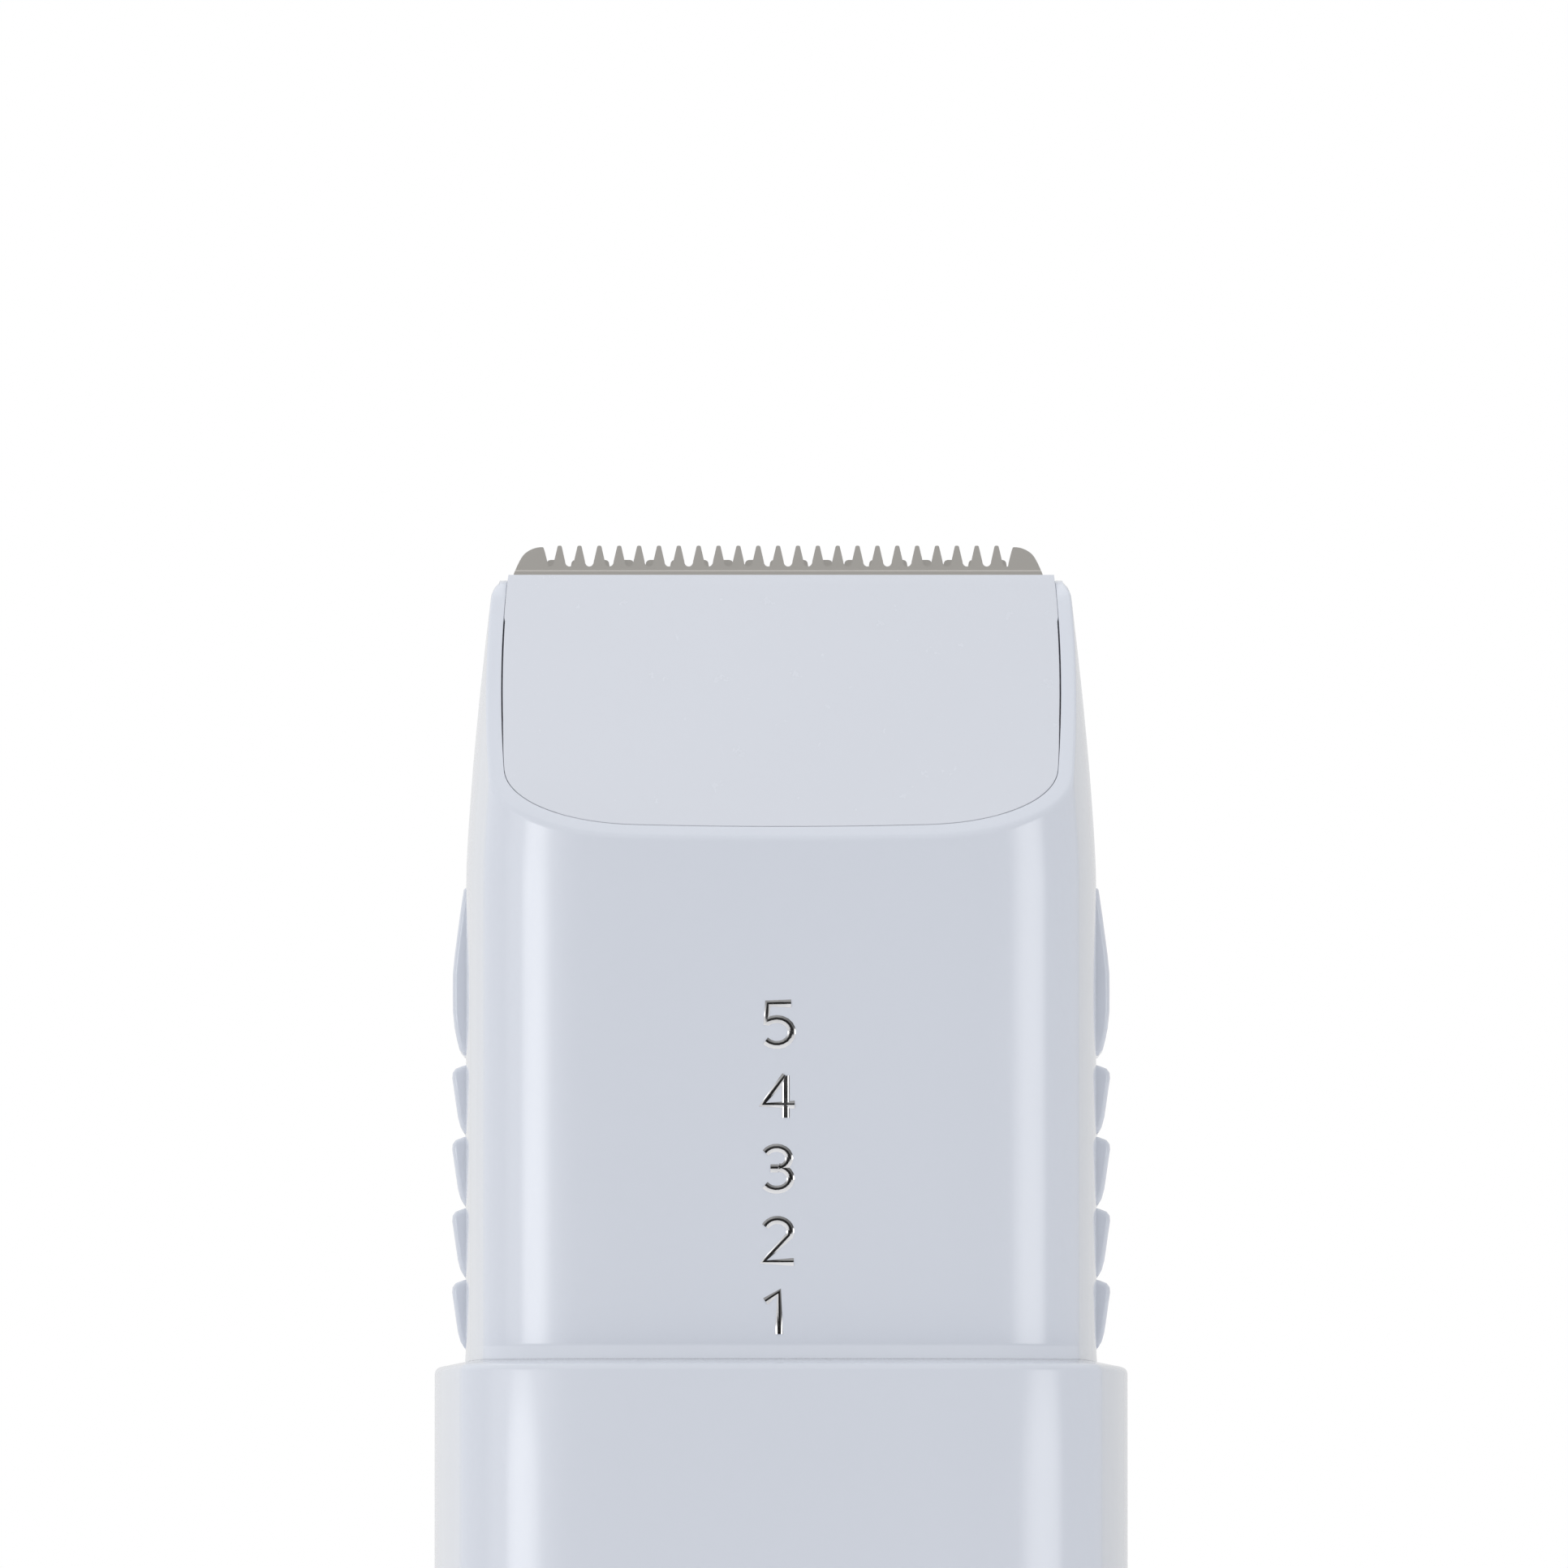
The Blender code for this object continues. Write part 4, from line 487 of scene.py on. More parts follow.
def rounded_outline(left, right, low, high, radii, steps=8):
    """A rounded rectangle, counter-clockwise, with the radii of its lower and upper corners."""
    points = []
    lower, upper = radii
    corners = (
        (right - lower, low + lower, lower),
        (right - upper, high - upper, upper),
        (left + upper, high - upper, upper),
        (left + lower, low + lower, lower),
    )
    for number, (x, y, radius) in enumerate(corners):
        for step in range(steps + 1):
            angle = math.radians(90 * (number - 1) + 90 * step / steps)
            points.append((x + radius * math.cos(angle), y + radius * math.sin(angle)))
    return points


def circle(radius, steps, centre=(0.0, 0.0)):
    """Pairs round a circle, counter-clockwise."""
    angles = [2 * math.pi * step / steps for step in range(steps)]
    return [(centre[0] + radius * math.cos(a), centre[1] + radius * math.sin(a)) for a in angles]


def clamp(value):
    """A value held between 0 and 1."""
    return min(max(value, 0.0), 1.0)


def joined(name, objects):
    """Several objects' meshes as one object."""
    mesh = bmesh.new()
    for obj in objects:
        mesh.from_mesh(obj.data)
        bpy.data.objects.remove(obj, do_unlink=True)
    made = bpy.data.meshes.new(name)
    mesh.to_mesh(made)
    mesh.free()
    return link(name, made)


def give_material(obj, material):
    """Makes a material the object's only one."""
    obj.data.materials.clear()
    obj.data.materials.append(material)
    for face in obj.data.polygons:
        face.material_index = 0


def settle(obj, body, material, replaced=(), angle=35.0):
    """Gives a finished piece its material and its body, and hides the imported parts that it stands in for.
    """
    give_material(obj, material)
    obj.data.shade_smooth()
    obj.data.set_sharp_from_angle(angle=math.radians(angle))
    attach(obj, body)
    if replaced:
        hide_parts(*replaced)
    return obj


# ---------------------------------------------------------------- the housings' section

PARTING_Y = -1.5 * MM
DRAFT_POWER = 1.2
CORNER_FLATNESS = 0.306
CORNER_FULLNESS = 2.2
CORNER_STEPS, FRONT_STEPS, SIDE_STEPS = 20, 22, 14
CORNERS = ((1, -1), (1, 1), (-1, 1), (-1, -1))


def section_columns():
    """For each point round a section: the corner and angle it leaves, those it heads for, and its share."""
    rows = []
    for number in range(4):
        start = 90 * (number - 1)
        for step in range(CORNER_STEPS + 1):
            rows.append((number, start + 90 * step / CORNER_STEPS, number, start, 0.0))
        steps = SIDE_STEPS if number % 2 == 0 else FRONT_STEPS
        after = (number + 1) % 4
        for step in range(1, steps):
            rows.append((number, start + 90, after, start + 90, step / steps))
    table = np.array(rows, float)
    leaves, angle, heads_for, next_angle, share = table.T
    return leaves.astype(int), np.radians(angle), heads_for.astype(int), np.radians(next_angle), share


COLUMNS = section_columns()


def section(half_width, front, back, corner, front_corner, crown, draft):
    """The section's points, one per column. Every size may differ from column to column."""
    middle, half_depth = (front + back) / 2, (back - front) / 2

    def on_corner(number, angle):
        across = np.array([CORNERS[n][0] for n in number], float)
        along = np.array([CORNERS[n][1] for n in number], float)
        near = along < 0
        wide = np.where(near, front_corner, corner)
        deep = np.where(near, front_corner * CORNER_FLATNESS, corner)
        power = np.where(near, 2 / CORNER_FULLNESS, 1.0)
        out, off = np.abs(np.cos(angle)) ** power, np.abs(np.sin(angle)) ** power
        return across * (half_width - wide + wide * out), along * (half_depth - deep + deep * off)

    first, first_angle, second, second_angle, share = COLUMNS
    (x0, y0), (x1, y1) = on_corner(first, first_angle), on_corner(second, second_angle)
    x, y = x0 + (x1 - x0) * share, y0 + (y1 - y0) * share
    y = middle + y * (1 - crown / half_depth * (x / half_width) ** 2)
    forward = np.clip(PARTING_Y - y, 0, None) / (PARTING_Y - front)
    x = x * (1 - draft / half_width * forward**DRAFT_POWER)
    along_side = np.clip(forward / forward[CORNER_STEPS], 0, 1)
    return x + np.sign(x) * 4 * housing_sizes().side_bow * along_side * (1 - along_side), y


def grip_section(inset=0.0):
    """The grip sleeve's section, taken in all round."""
    sizes = housing_sizes()
    half_width, half_depth = SLEEVE_HIGH.x - inset, SLEEVE_HIGH.y - inset
    corner = max(sizes.grip_corner - inset, SMALLEST_CORNER)
    front_corner = max(sizes.grip_front_corner - inset, SMALLEST_CORNER)
    crown, draft = sizes.grip_crown, sizes.grip_draft
    return section(half_width, -half_depth, half_depth, corner, front_corner, crown, draft)


def level_ring(outline, z):
    """A section's points at one height."""
    return list(zip(*outline, [z] * len(outline[0])))


class Head:
    """The head shell's form: its section at any height, and the mouth cut across it.

    The blade block has axes of its own: x across, s up its slope and t out of its face."""

    def __init__(self):
        sizes, slope = housing_sizes(), blade_sizes().slope
        self.sizes = sizes
        self.up = Vector((0, math.sin(slope), math.cos(slope)))
        self.out = Vector((0, -math.cos(slope), math.sin(slope)))
        self.panel_length = (PANEL_TOP_Z - HINGE.z) / self.up.z
        self.panel_top = HINGE + self.up * self.panel_length
        self.half_width = SLEEVE_HIGH.x - sizes.ledge_width
        self.half_depth = SLEEVE_HIGH.y - sizes.ledge_depth
        self.ledge = SLEEVE_HIGH.z
        self.foot = self.ledge + FOOT_GAP
        self.top = SHELL_HIGH.z
        self.slant = math.tan(slope)
        self.depth_along_y = 1 / math.cos(slope)
        self.mouth_z = HINGE.z - (HINGE.y + self.half_depth) / self.slant
        self.proportion = sizes.rim_foot / sizes.rim_width

    def width_at(self, z):
        """Half the head's width, drawn in towards the top."""
        start = self.mouth_z - 2 * MM
        share = np.clip((z - start) / (self.top - start), 0, None)
        return self.half_width - self.sizes.head_taper * share**1.4

    def back_at(self, z):
        """How far back the head reaches, coming forward towards the top."""
        start = self.ledge + self.sizes.back_start
        share = np.clip((z - start) / (self.top - start), 0, None)
        return self.half_depth - self.sizes.back_lean * share**1.8

    def at(self, z, inset=0.0, front_inset=None):
        """The section at a height, taken in all round and at the front."""
        sizes = self.sizes
        front_inset = inset if front_inset is None else front_inset
        z = np.broadcast_to(np.asarray(z, float), COLUMNS[4].shape)
        corner = np.maximum(sizes.neck_corner - inset, SMALLEST_CORNER)
        front_corner = np.maximum(sizes.neck_front_corner - inset, SMALLEST_CORNER)
        half_width, back = self.width_at(z) - inset, self.back_at(z) - inset
        front = -self.half_depth + front_inset
        return section(half_width, front, back, corner, front_corner, sizes.neck_crown, sizes.neck_draft)

    def slope_height(self, inset, depth, front_inset):
        """Where each column meets the mouth's slope, taken in by a depth."""
        low = np.full(len(COLUMNS[4]), self.ledge)
        high = np.full(len(COLUMNS[4]), self.top + 20 * MM)
        for _ in range(36):
            z = (low + high) / 2
            slope_y = -self.half_depth + (z - self.mouth_z) * self.slant + depth * self.depth_along_y
            inside = self.at(z, inset, front_inset)[1] > slope_y
            low, high = np.where(inside, z, low), np.where(inside, high, z)
        return low

    def mouth_height(self, inset, depth, front_inset=None):
        """Where each column ends: on the slope, or level at the back, blended between."""
        front_inset = inset * self.proportion if front_inset is None else front_inset
        sloped, top = self.slope_height(inset, depth, front_inset), self.top - 0.5 * depth
        overlap = np.clip(MM - np.abs(sloped - top), 0, None)
        return np.minimum(sloped, top) - overlap**2 / (4 * MM)

    def top_draw(self, z):
        """How far the outside draws in over the round of the head's top edge."""
        radius = self.sizes.top_round
        above = np.clip(z - (self.top - 0.8 * radius), 0, 0.8 * radius)
        return radius - np.sqrt(radius**2 - above**2)

    def ring(self, z, inset=0.0, front_inset=None, rounded=False):
        """The section's points, each at its own height."""
        z = np.broadcast_to(np.asarray(z, float), COLUMNS[4].shape)
        if rounded:
            drawn = self.top_draw(z)
            inset, front_inset = inset + drawn, (inset if front_inset is None else front_inset) + drawn
        x, y = self.at(z, inset, front_inset)
        return list(zip(x, y, z))

    def rim_ring(self, inset, depth, rounded=False):
        """A ring of the rim, at an inset from the outside and a depth below the slope."""
        z = self.mouth_height(inset, depth)
        return self.ring(z, inset, inset * self.proportion, rounded)

    def on_slope(self, x, s, t):
        """A point s up the slope from the panel's top edge and t out of its face."""
        return Vector((x, 0, 0)) + self.panel_top + self.up * s + self.out * t

    def slope_matrix(self):
        """Turns the block's own x, s and t into the clipper's frame."""
        turn = Matrix((Vector((1, 0, 0)), self.up, self.out)).transposed().to_4x4()
        return Matrix.Translation(self.panel_top) @ turn


def quarter(radius, steps):
    """Pairs along a quarter round, from (0, radius) to (radius, 0)."""
    angles = [math.radians(90 * step / steps) for step in range(steps + 1)]
    return [(radius * (1 - math.cos(a)), radius * (1 - math.sin(a))) for a in angles]


def build_head_shell():
    """The neck with its skirt below, its flared foot, and the rim and seat round the mouth."""
    head, sizes = Head(), housing_sizes()
    rings = [head.ring(z, SKIRT_IN) for z in (SHELL_LOW.z, head.foot)]
    for rise, out in ((0.0, 1.0), (0.04, 0.96), (0.5, 0.5), (0.92, 0.08), (0.97, 0.035)):
        flare = sizes.neck_foot_flare * out
        rings.append(head.ring(head.foot + sizes.neck_foot_height * rise, -FOOT_SIDE_SHARE * flare, -flare))
    base = head.foot + sizes.neck_foot_height * 1.03
    start = head.mouth_z - 9 * MM
    rings += [head.ring(base + (start - base) * step / 10) for step in (0, 0.06, *range(1, 10))]
    edge = quarter(sizes.rim_round, 6)
    end = head.mouth_height(0.0, edge[0][1])
    for step in range(64):
        share = 1 - (1 - step / 63) ** 1.35
        rings.append(head.ring(start + share * (end - start), rounded=True))
    rings += [head.rim_ring(inset, depth, rounded=True) for inset, depth in edge[1:]]
    for inset in (0.45 * sizes.rim_width, sizes.rim_width - RIM_INNER_ROUND):
        rings.append(head.rim_ring(inset, 0.0))
    for rise, inset in reversed(quarter(RIM_INNER_ROUND, 4)[:-1]):
        rings.append(head.rim_ring(sizes.rim_width - inset, rise))
    rings.append(head.rim_ring(sizes.rim_width, sizes.rim_depth))
    inner = head.mouth_height(sizes.head_wall, sizes.rim_depth, sizes.head_wall)
    for step in range(21):
        rings.append(head.ring(inner + (start - inner) * step / 20, sizes.head_wall))
    rings.append(head.ring(head.foot + 2 * sizes.head_wall, sizes.head_wall))
    rings += [head.ring(z, SKIRT_IN + SKIRT_WALL) for z in (head.foot + sizes.head_wall, SHELL_LOW.z)]
    return settle(loft("head_shell_skin", rings), HOUSING, housing_plastic(), ("head_shell",))


# ---------------------------------------------------------------- comb racks and numbers


REPEAT_INPUTS = {
    "Geometry": "NodeSocketGeometry",
    "Piece": "NodeSocketObject",
    "Count": "NodeSocketInt",
    "Start": "NodeSocketVector",
    "Step": "NodeSocketVector",
    "Weld Distance": "NodeSocketFloat",
    "Material": "NodeSocketMaterial",
}


def repeat_group():
    """Sets copies of a piece along a line, joins what the object already holds, and welds where they meet."""
    known = bpy.data.node_groups.get("repeat_along_line")
    if known:
        return known
    tree = bpy.data.node_groups.new("repeat_along_line", "GeometryNodeTree")
    tree.is_modifier = True
    for socket, kind in REPEAT_INPUTS.items():
        tree.interface.new_socket(socket, in_out="INPUT", socket_type=kind)
    tree.interface.new_socket("Geometry", in_out="OUTPUT", socket_type="NodeSocketGeometry")
    given = tree.nodes.new("NodeGroupInput").outputs
    line = {"Count": given["Count"], "Start Location": given["Start"], "Offset": given["Step"]}
    line = add(tree, "GeometryNodeMeshLine", line, mode="OFFSET").outputs["Mesh"]
    piece = add(tree, "GeometryNodeObjectInfo", {"Object": given["Piece"]}).outputs["Geometry"]
    copies = add(tree, "GeometryNodeInstanceOnPoints", {"Points": line, "Instance": piece})
    real = {"Geometry": copies.outputs["Instances"]}
    real = add(tree, "GeometryNodeRealizeInstances", real).outputs["Geometry"]
    both = add(tree, "GeometryNodeJoinGeometry", {"Geometry": real})
    feed(tree, {"Geometry": given["Geometry"]}, both.inputs)
    weld = {"Geometry": both.outputs["Geometry"], "Distance": given["Weld Distance"]}
    weld = add(tree, "GeometryNodeMergeByDistance", weld).outputs["Geometry"]
    paint = add(tree, "GeometryNodeSetMaterial", {"Geometry": weld, "Material": given["Material"]})
    feed(tree, {"Geometry": paint.outputs["Geometry"]}, tree.nodes.new("NodeGroupOutput").inputs)
    return tree


def repeated(obj, piece, count, start, step, material, weld=HAIRLINE):
    """Adds copies of a piece to an object along a line, as plain mesh. The piece is used up."""
    modifier = obj.modifiers.new("Repeat", "NODES")
    modifier.node_group = repeat_group()
    values = {"Piece": piece, "Count": count, "Start": start, "Step": step}
    values |= {"Weld Distance": weld, "Material": material}
    for item in modifier.node_group.interface.items_tree:
        if item.in_out == "INPUT" and item.name in values:
            modifier[item.identifier] = values[item.name]
    bake_modifiers(obj)
    bpy.data.objects.remove(piece, do_unlink=True)
    return obj


def rack_piece(name, side, face, shape):
    """Something proud of the neck's side, with its feet sunk in it."""
    sunk, crest = face - 0.9 * MM, SHELL_HIGH.x
    pairs = [(face + share * (crest - face), z * MM) for share, z in shape]
    pairs = [(sunk, 0.0)] + pairs + [(sunk, pairs[-1][1])]
    outline = [(side * x, z) for x, z in pairs][::side]
    return bevelled(prism(name, outline, facing, RACK_BACK, RACK_FRONT), 0.26 * MM, 5)


# How far out, as a share of the crest, and how high up in millimetres.
TOOTH_SHAPE = (
    (-0.05, 0.0), (0.16, 0.08), (0.42, 0.42), (0.6, 0.95), (0.74, 1.7), (0.88, 2.5), (1.0, 3.15),
    (0.97, 3.45), (0.75, 3.68), (0.3, 3.82), (-0.05, 3.9),
)
RAMP_SHAPE = (
    (-0.05, 0.0), (0.2, 0.05), (0.5, 0.35), (0.68, 0.9), (0.85, 1.6), (0.96, 2.5), (0.97, 3.6),
    (0.96, 4.6), (0.84, 5.6), (0.66, 6.7), (0.46, 7.9), (0.28, 8.9), (0.2, 9.3), (-0.05, 9.5),
)


def build_comb_racks():
    """The ratchet teeth and the long ramp on each side of the neck."""
    head, sizes = Head(), housing_sizes()
    foot = head.ledge + 0.8 * MM
    start, step = Vector((0, 0, foot)), Vector((0, 0, sizes.rack_pitch))
    parts = []
    for side in (-1, 1):
        tooth = rack_piece("rack_tooth", side, head.half_width, TOOTH_SHAPE)
        slant = rack_piece("rack_ramp", side, head.half_width, RAMP_SHAPE)
        slant.data.transform(Matrix.Translation((0, 0, foot + (sizes.rack_teeth + 0.1) * sizes.rack_pitch)))
        parts.append(repeated(slant, tooth, sizes.rack_teeth, start, step, housing_plastic()))
    return settle(joined("comb_racks", parts), HOUSING, housing_plastic())


def arc(x, z, wide, high, start, end):
    """Pairs along an arc, between two angles in degrees."""
    angles = [math.radians(start + (end - start) * step / 14) for step in range(15)]
    return [(x + wide * math.cos(a), z + high * math.sin(a)) for a in angles]


def number_strokes():
    """The strokes of 5 to 1 in a box two units high."""
    five = [[(0.52, 1.0), (-0.4, 1.0), (-0.47, 0.12)] + arc(-0.05, -0.36, 0.6, 0.62, 128, -138)]
    four = [[(0.3, 1.0), (-0.62, -0.38), (0.66, -0.38)], [(0.3, 1.0), (0.3, -1.0)]]
    three = [arc(-0.06, 0.5, 0.5, 0.5, 150, -80), [(-0.3, 0.02), (0.0, 0.02)]]
    three.append(arc(-0.06, -0.46, 0.56, 0.54, 82, -145))
    two = [arc(-0.03, 0.45, 0.52, 0.55, 155, -22) + [(-0.6, -1.0), (0.62, -1.0)]]
    one = [[(-0.5, 0.55), (0.04, 1.0), (0.04, -1.0)]]
    return five, four, three, two, one


def stroke(name, points, scale, width, centre):
    """A round stroke along a line of pairs, as a plain mesh object."""
    curve = bpy.data.curves.new(name, "CURVE")
    curve.dimensions = "3D"
    curve.bevel_depth = width / 2
    curve.bevel_resolution = 3
    curve.use_fill_caps = True
    curve.resolution_u = 1
    spline = curve.splines.new("POLY")
    spline.points.add(len(points) - 1)
    for point, (x, z) in zip(spline.points, points):
        point.co = (centre[0] + 1.2 * x * scale, 0.0, centre[1] + z * scale, 1)
    holder = link(name, curve)
    graph = bpy.context.evaluated_depsgraph_get()
    made = bpy.data.meshes.new_from_object(holder.evaluated_get(graph))
    bpy.data.objects.remove(holder, do_unlink=True)
    return link(name, made)


def build_comb_numbers():
    """The comb steps, stamped in bright foil down the middle of the neck."""
    head, sizes = Head(), housing_sizes()
    scale, width = sizes.number_height / 2 - sizes.number_stroke / 2, sizes.number_stroke
    lowest = head.ledge + LOWEST_NUMBER
    parts = []
    for number, strokes in enumerate(number_strokes()):
        z = lowest + (4 - number) * sizes.rack_pitch
        parts += [stroke("number_stroke", points, scale, width, (NUMBER_X, z)) for points in strokes]
    numbers = joined("comb_numbers", parts)
    flatten = Matrix.Diagonal((1, 0.26, 1, 1))
    numbers.data.transform(Matrix.Translation((0, -head.half_depth + 0.01 * MM, 0)) @ flatten)
    return settle(numbers, HOUSING, foil(), angle=60.0)


# ---------------------------------------------------------------- sleeve, base, door and slider


def door_outline(grow):
    """The door's outline in X and Z, grown each way and open below."""
    half, top = DOOR_HALF + grow, SLEEVE_LOW.z + 65 * MM + grow
    return rounded_outline(-half, half, -8 * MM, top, (0.3 * MM, DOOR_CORNER + grow), 10)


def build_grip_sleeve():
    """The grip's sleeve, with its ledge, the door's opening behind and the slider's pocket in front."""
    sizes, head = housing_sizes(), Head()
    rings = []
    for inset, rise in reversed(quarter(BASE_ROUND, 8)):
        rings.append(level_ring(grip_section(inset), SLEEVE_LOW.z + rise))
    edge = SLEEVE_HIGH.z - sizes.ledge_rise
    base = SLEEVE_LOW.z + BASE_ROUND
    side = edge - sizes.ledge_round
    rings += [level_ring(grip_section(), base + (side - base) * step / 16) for step in range(1, 16)]
    for inset, drop in quarter(sizes.ledge_round, 8):
        rings.append(level_ring(grip_section(inset), edge - drop))
    below = SLEEVE_HIGH.z - NECK_OPENING_DEPTH
    flare = sizes.neck_foot_flare + 0.05 * MM
    rings.append(head.ring(SLEEVE_HIGH.z, -FOOT_SIDE_SHARE * flare, -flare))
    rings += [head.ring(z, NECK_OPENING_IN) for z in (SLEEVE_HIGH.z, below)]
    rings += [level_ring(grip_section(sizes.grip_wall), z) for z in (below, SLEEVE_LOW.z)]
    sleeve = loft("grip_sleeve_skin", rings)
    back = SLEEVE_HIGH.y
    cut(sleeve, prism("opening", door_outline(0.12 * MM), facing, back * 2, back * 0.5))
    half = SLIDER_HIGH.x + POCKET_GAP
    low, high = SLIDER_LOW.z - POCKET_GAP, SLIDER_HIGH.z + SLIDER_STROKE + POCKET_GAP
    floor = SLEEVE_LOW.y + 0.9 * MM
    pocket = rounded_outline(-half, half, low, high, (2 * MM, 2 * MM), 10)
    cut(sleeve, prism("pocket", pocket, facing, floor, SLEEVE_LOW.y * 1.5))
    half = STEM_HALF + 0.3 * MM
    middle = (SLIDER_LOW.z + SLIDER_HIGH.z) / 2
    low, high = middle - 2.3 * MM, middle + 2.3 * MM + SLIDER_STROKE
    slot = rounded_outline(-half, half, low, high, (0.3 * MM, 0.3 * MM), 4)
    cut(sleeve, prism("slot", slot, facing, floor + 2 * MM, floor - MM))
    return settle(sleeve, HOUSING, housing_plastic(), ("grip_sleeve",))


def surface_ring(outline, out):
    """A ring of the grip's back surface under an outline in X and Z, moved outwards."""
    sizes = housing_sizes()
    ring = []
    for x, z in outline:
        crown = sizes.grip_crown * (x / SLEEVE_HIGH.x) ** 2
        near_foot = max(SLEEVE_LOW.z + BASE_ROUND - z, 0.0)
        foot = BASE_ROUND - math.sqrt(max(BASE_ROUND**2 - near_foot**2, 0.0))
        ring.append((x, SLEEVE_HIGH.y - crown - foot + out, z))
    return ring


def build_cell_door():
    """The door over the cells, with its tongues, its catch and the ribs to push it by."""
    low, high = SLEEVE_LOW.z, DOOR_HIGH.z - 1.4 * MM

    def ring(inset, out):
        radii = (0.25 * MM, max(DOOR_CORNER - inset, 0.1 * MM))
        half, foot = DOOR_HALF - inset, low + min(inset, 0.2 * MM)
        return surface_ring(rounded_outline(-half, half, foot, high - inset, radii, 10), out)[::-1]

    rings = [ring(0.0, -1.75 * MM)]
    rings += [ring(inset, -out - HAIRLINE) for out, inset in quarter(0.2 * MM, 5)]
    rings += [ring(inset * MM, -HAIRLINE) for inset in (0.8, 1.8, 3.2, 5.0, 7.2, 9.6, 11.4)]
    parts = [loft("cell_door_skin", rings, closed=False)]
    back, front = 13.1 * MM, 12.1 * MM
    foot, top = low + 2 * MM, high - 6 * MM
    for side in (-1, 1):
        x0, x1 = sorted((side * DOOR_FRAME_IN, side * 12.3 * MM))
        parts.append(block("root", (x0, front, foot), (x1, 13.6 * MM, top)))
        x0, x1 = sorted((side * DOOR_FRAME_IN, side * DOOR_HIGH.x))
        tongue = block("tongue", (x0, DOOR_LOW.y, foot), (x1, DOOR_LOW.y + MM, top))
        parts.append(bevelled(tongue, 0.15 * MM))
    half, foot = 6 * MM, high - 4 * MM
    parts.append(block("catch_root", (-half, front, foot), (half, 13.9 * MM, high - 1.5 * MM)))
    parts.append(bevelled(block("catch", (-half, front, foot), (half, back, DOOR_HIGH.z)), 0.2 * MM))
    door = joined("cell_door_skin", parts)
    shape = [(-0.4, -0.6), (0.1, -0.55), (0.36, -0.25), (0.4, 0.0), (0.36, 0.25), (0.1, 0.55), (-0.4, 0.6)]
    pairs = [(SLEEVE_HIGH.y + y * MM, z * MM) for y, z in shape]
    rib = bevelled(prism("rib", pairs, sideways, -6.3 * MM, 6.3 * MM), 0.1 * MM, 2)
    start = Vector((0, -0.02 * MM, high - 8.1 * MM))
    repeated(door, rib, 5, start, Vector((0, 0, -2.2 * MM)), housing_plastic(), weld=0.0)
    return settle(door, DOOR, housing_plastic(), ("cell_door",))


def build_base_cap():
    """The flat base, with the door's way through its back and the screws' seats."""
    levels = [(1.5, 0.0), (1.32, 0.06), (1.2, 0.25), (1.2, 0.7), (1.3, 0.8), (2.1, 0.8), (2.1, 2.4)]
    rings = [level_ring(grip_section(inset * MM), CAP_Z + z * MM) for inset, z in levels]
    cap = loft("base_cap_skin", rings, closed=False)
    half = DOOR_HIGH.x + 0.3 * MM
    cut(cap, block("path", (-half, DOOR_LOW.y - 0.8 * MM, -MM), (half, 2 * SLEEVE_HIGH.y, 5 * MM)))
    for low, high in SCREW_BOXES:
        for radius, bottom, top in ((1.9, -1, 1.3), (1.3, 1.2, 5)):
            seat = circle(radius * MM, 48, (low + high) / 2)
            cut(cap, prism("seat", seat, upright, bottom * MM, top * MM))
    return settle(cap, HOUSING, housing_plastic(), ("base_cap",))


def build_base_screws():
    """Two pan-head cross screws in the base."""
    (low, high), (other_low, _) = SCREW_BOXES
    reach = (high.z - low.z) / MM
    profile = [(0.9, 0.0), (1.25, 0.05), (1.5, 0.22), (1.6, 0.5), (1.58, 0.95), (1.45, 1.0), (1.0, 1.0)]
    z = 1.0
    while z < reach - 1.2:
        profile += [(1.0, z + 0.12), (0.82, z + 0.28)]
        z += 0.4
    profile.append((0.2, reach))
    rings = [[(x, y, z * MM) for x, y in circle(radius * MM, 40)] for radius, z in profile]
    screw = loft("screw", rings, closed=False)
    for turn in (0, 90):
        wide, narrow = (0.95, 0.2) if turn else (0.2, 0.95)
        recess = block("recess", (-wide * MM, -narrow * MM, -MM), (wide * MM, narrow * MM, 0.45 * MM))
        cut(screw, recess)
    start = Vector(((low.x + high.x) / 2, (low.y + high.y) / 2, low.z))
    step = Vector((other_low.x - low.x, 0, 0))
    screws = link("base_screws", bpy.data.meshes.new("base_screws"))
    repeated(screws, screw, 2, start, step, screw_steel(), weld=0.0)
    return settle(screws, HOUSING, screw_steel(), ("base_screw_left", "base_screw_right"))


def build_power_slider():
    """The front slide button, with its grip ridges and the stem behind it."""
    low, high = SLIDER_LOW, SLIDER_HIGH
    middle = (low.z + high.z) / 2
    outline = rounded_outline(low.x, high.x, low.z, high.z, (1.7 * MM, 1.7 * MM), 10)
    back, face = low.y + 1.58 * MM, low.y + 0.4 * MM
    button = bevelled(prism("button", outline, facing, back, face), 0.3 * MM, 4)
    foot, top = middle - 2 * MM, middle + 2 * MM
    stem = block("stem", (-STEM_HALF, back - 0.2 * MM, foot), (STEM_HALF, high.y, top))
    button = joined("power_slider_skin", [button, stem])
    shape = [(0.5, -0.5), (0.12, -0.32), (0.02, -0.14), (0.0, 0.0), (0.02, 0.14), (0.12, 0.32), (0.5, 0.5)]
    pairs = [(low.y + y * MM, z * MM) for y, z in shape][::-1]
    ridge = bevelled(prism("ridge", pairs, sideways, low.x + 0.8 * MM, high.x - 0.8 * MM), 0.06 * MM, 2)
    start = Vector((0, 0, middle - 3.6 * MM))
    repeated(button, ridge, 5, start, Vector((0, 0, 1.8 * MM)), housing_plastic(), weld=0.0)
    return settle(button, SWITCH, housing_plastic(), ("power_slider",))


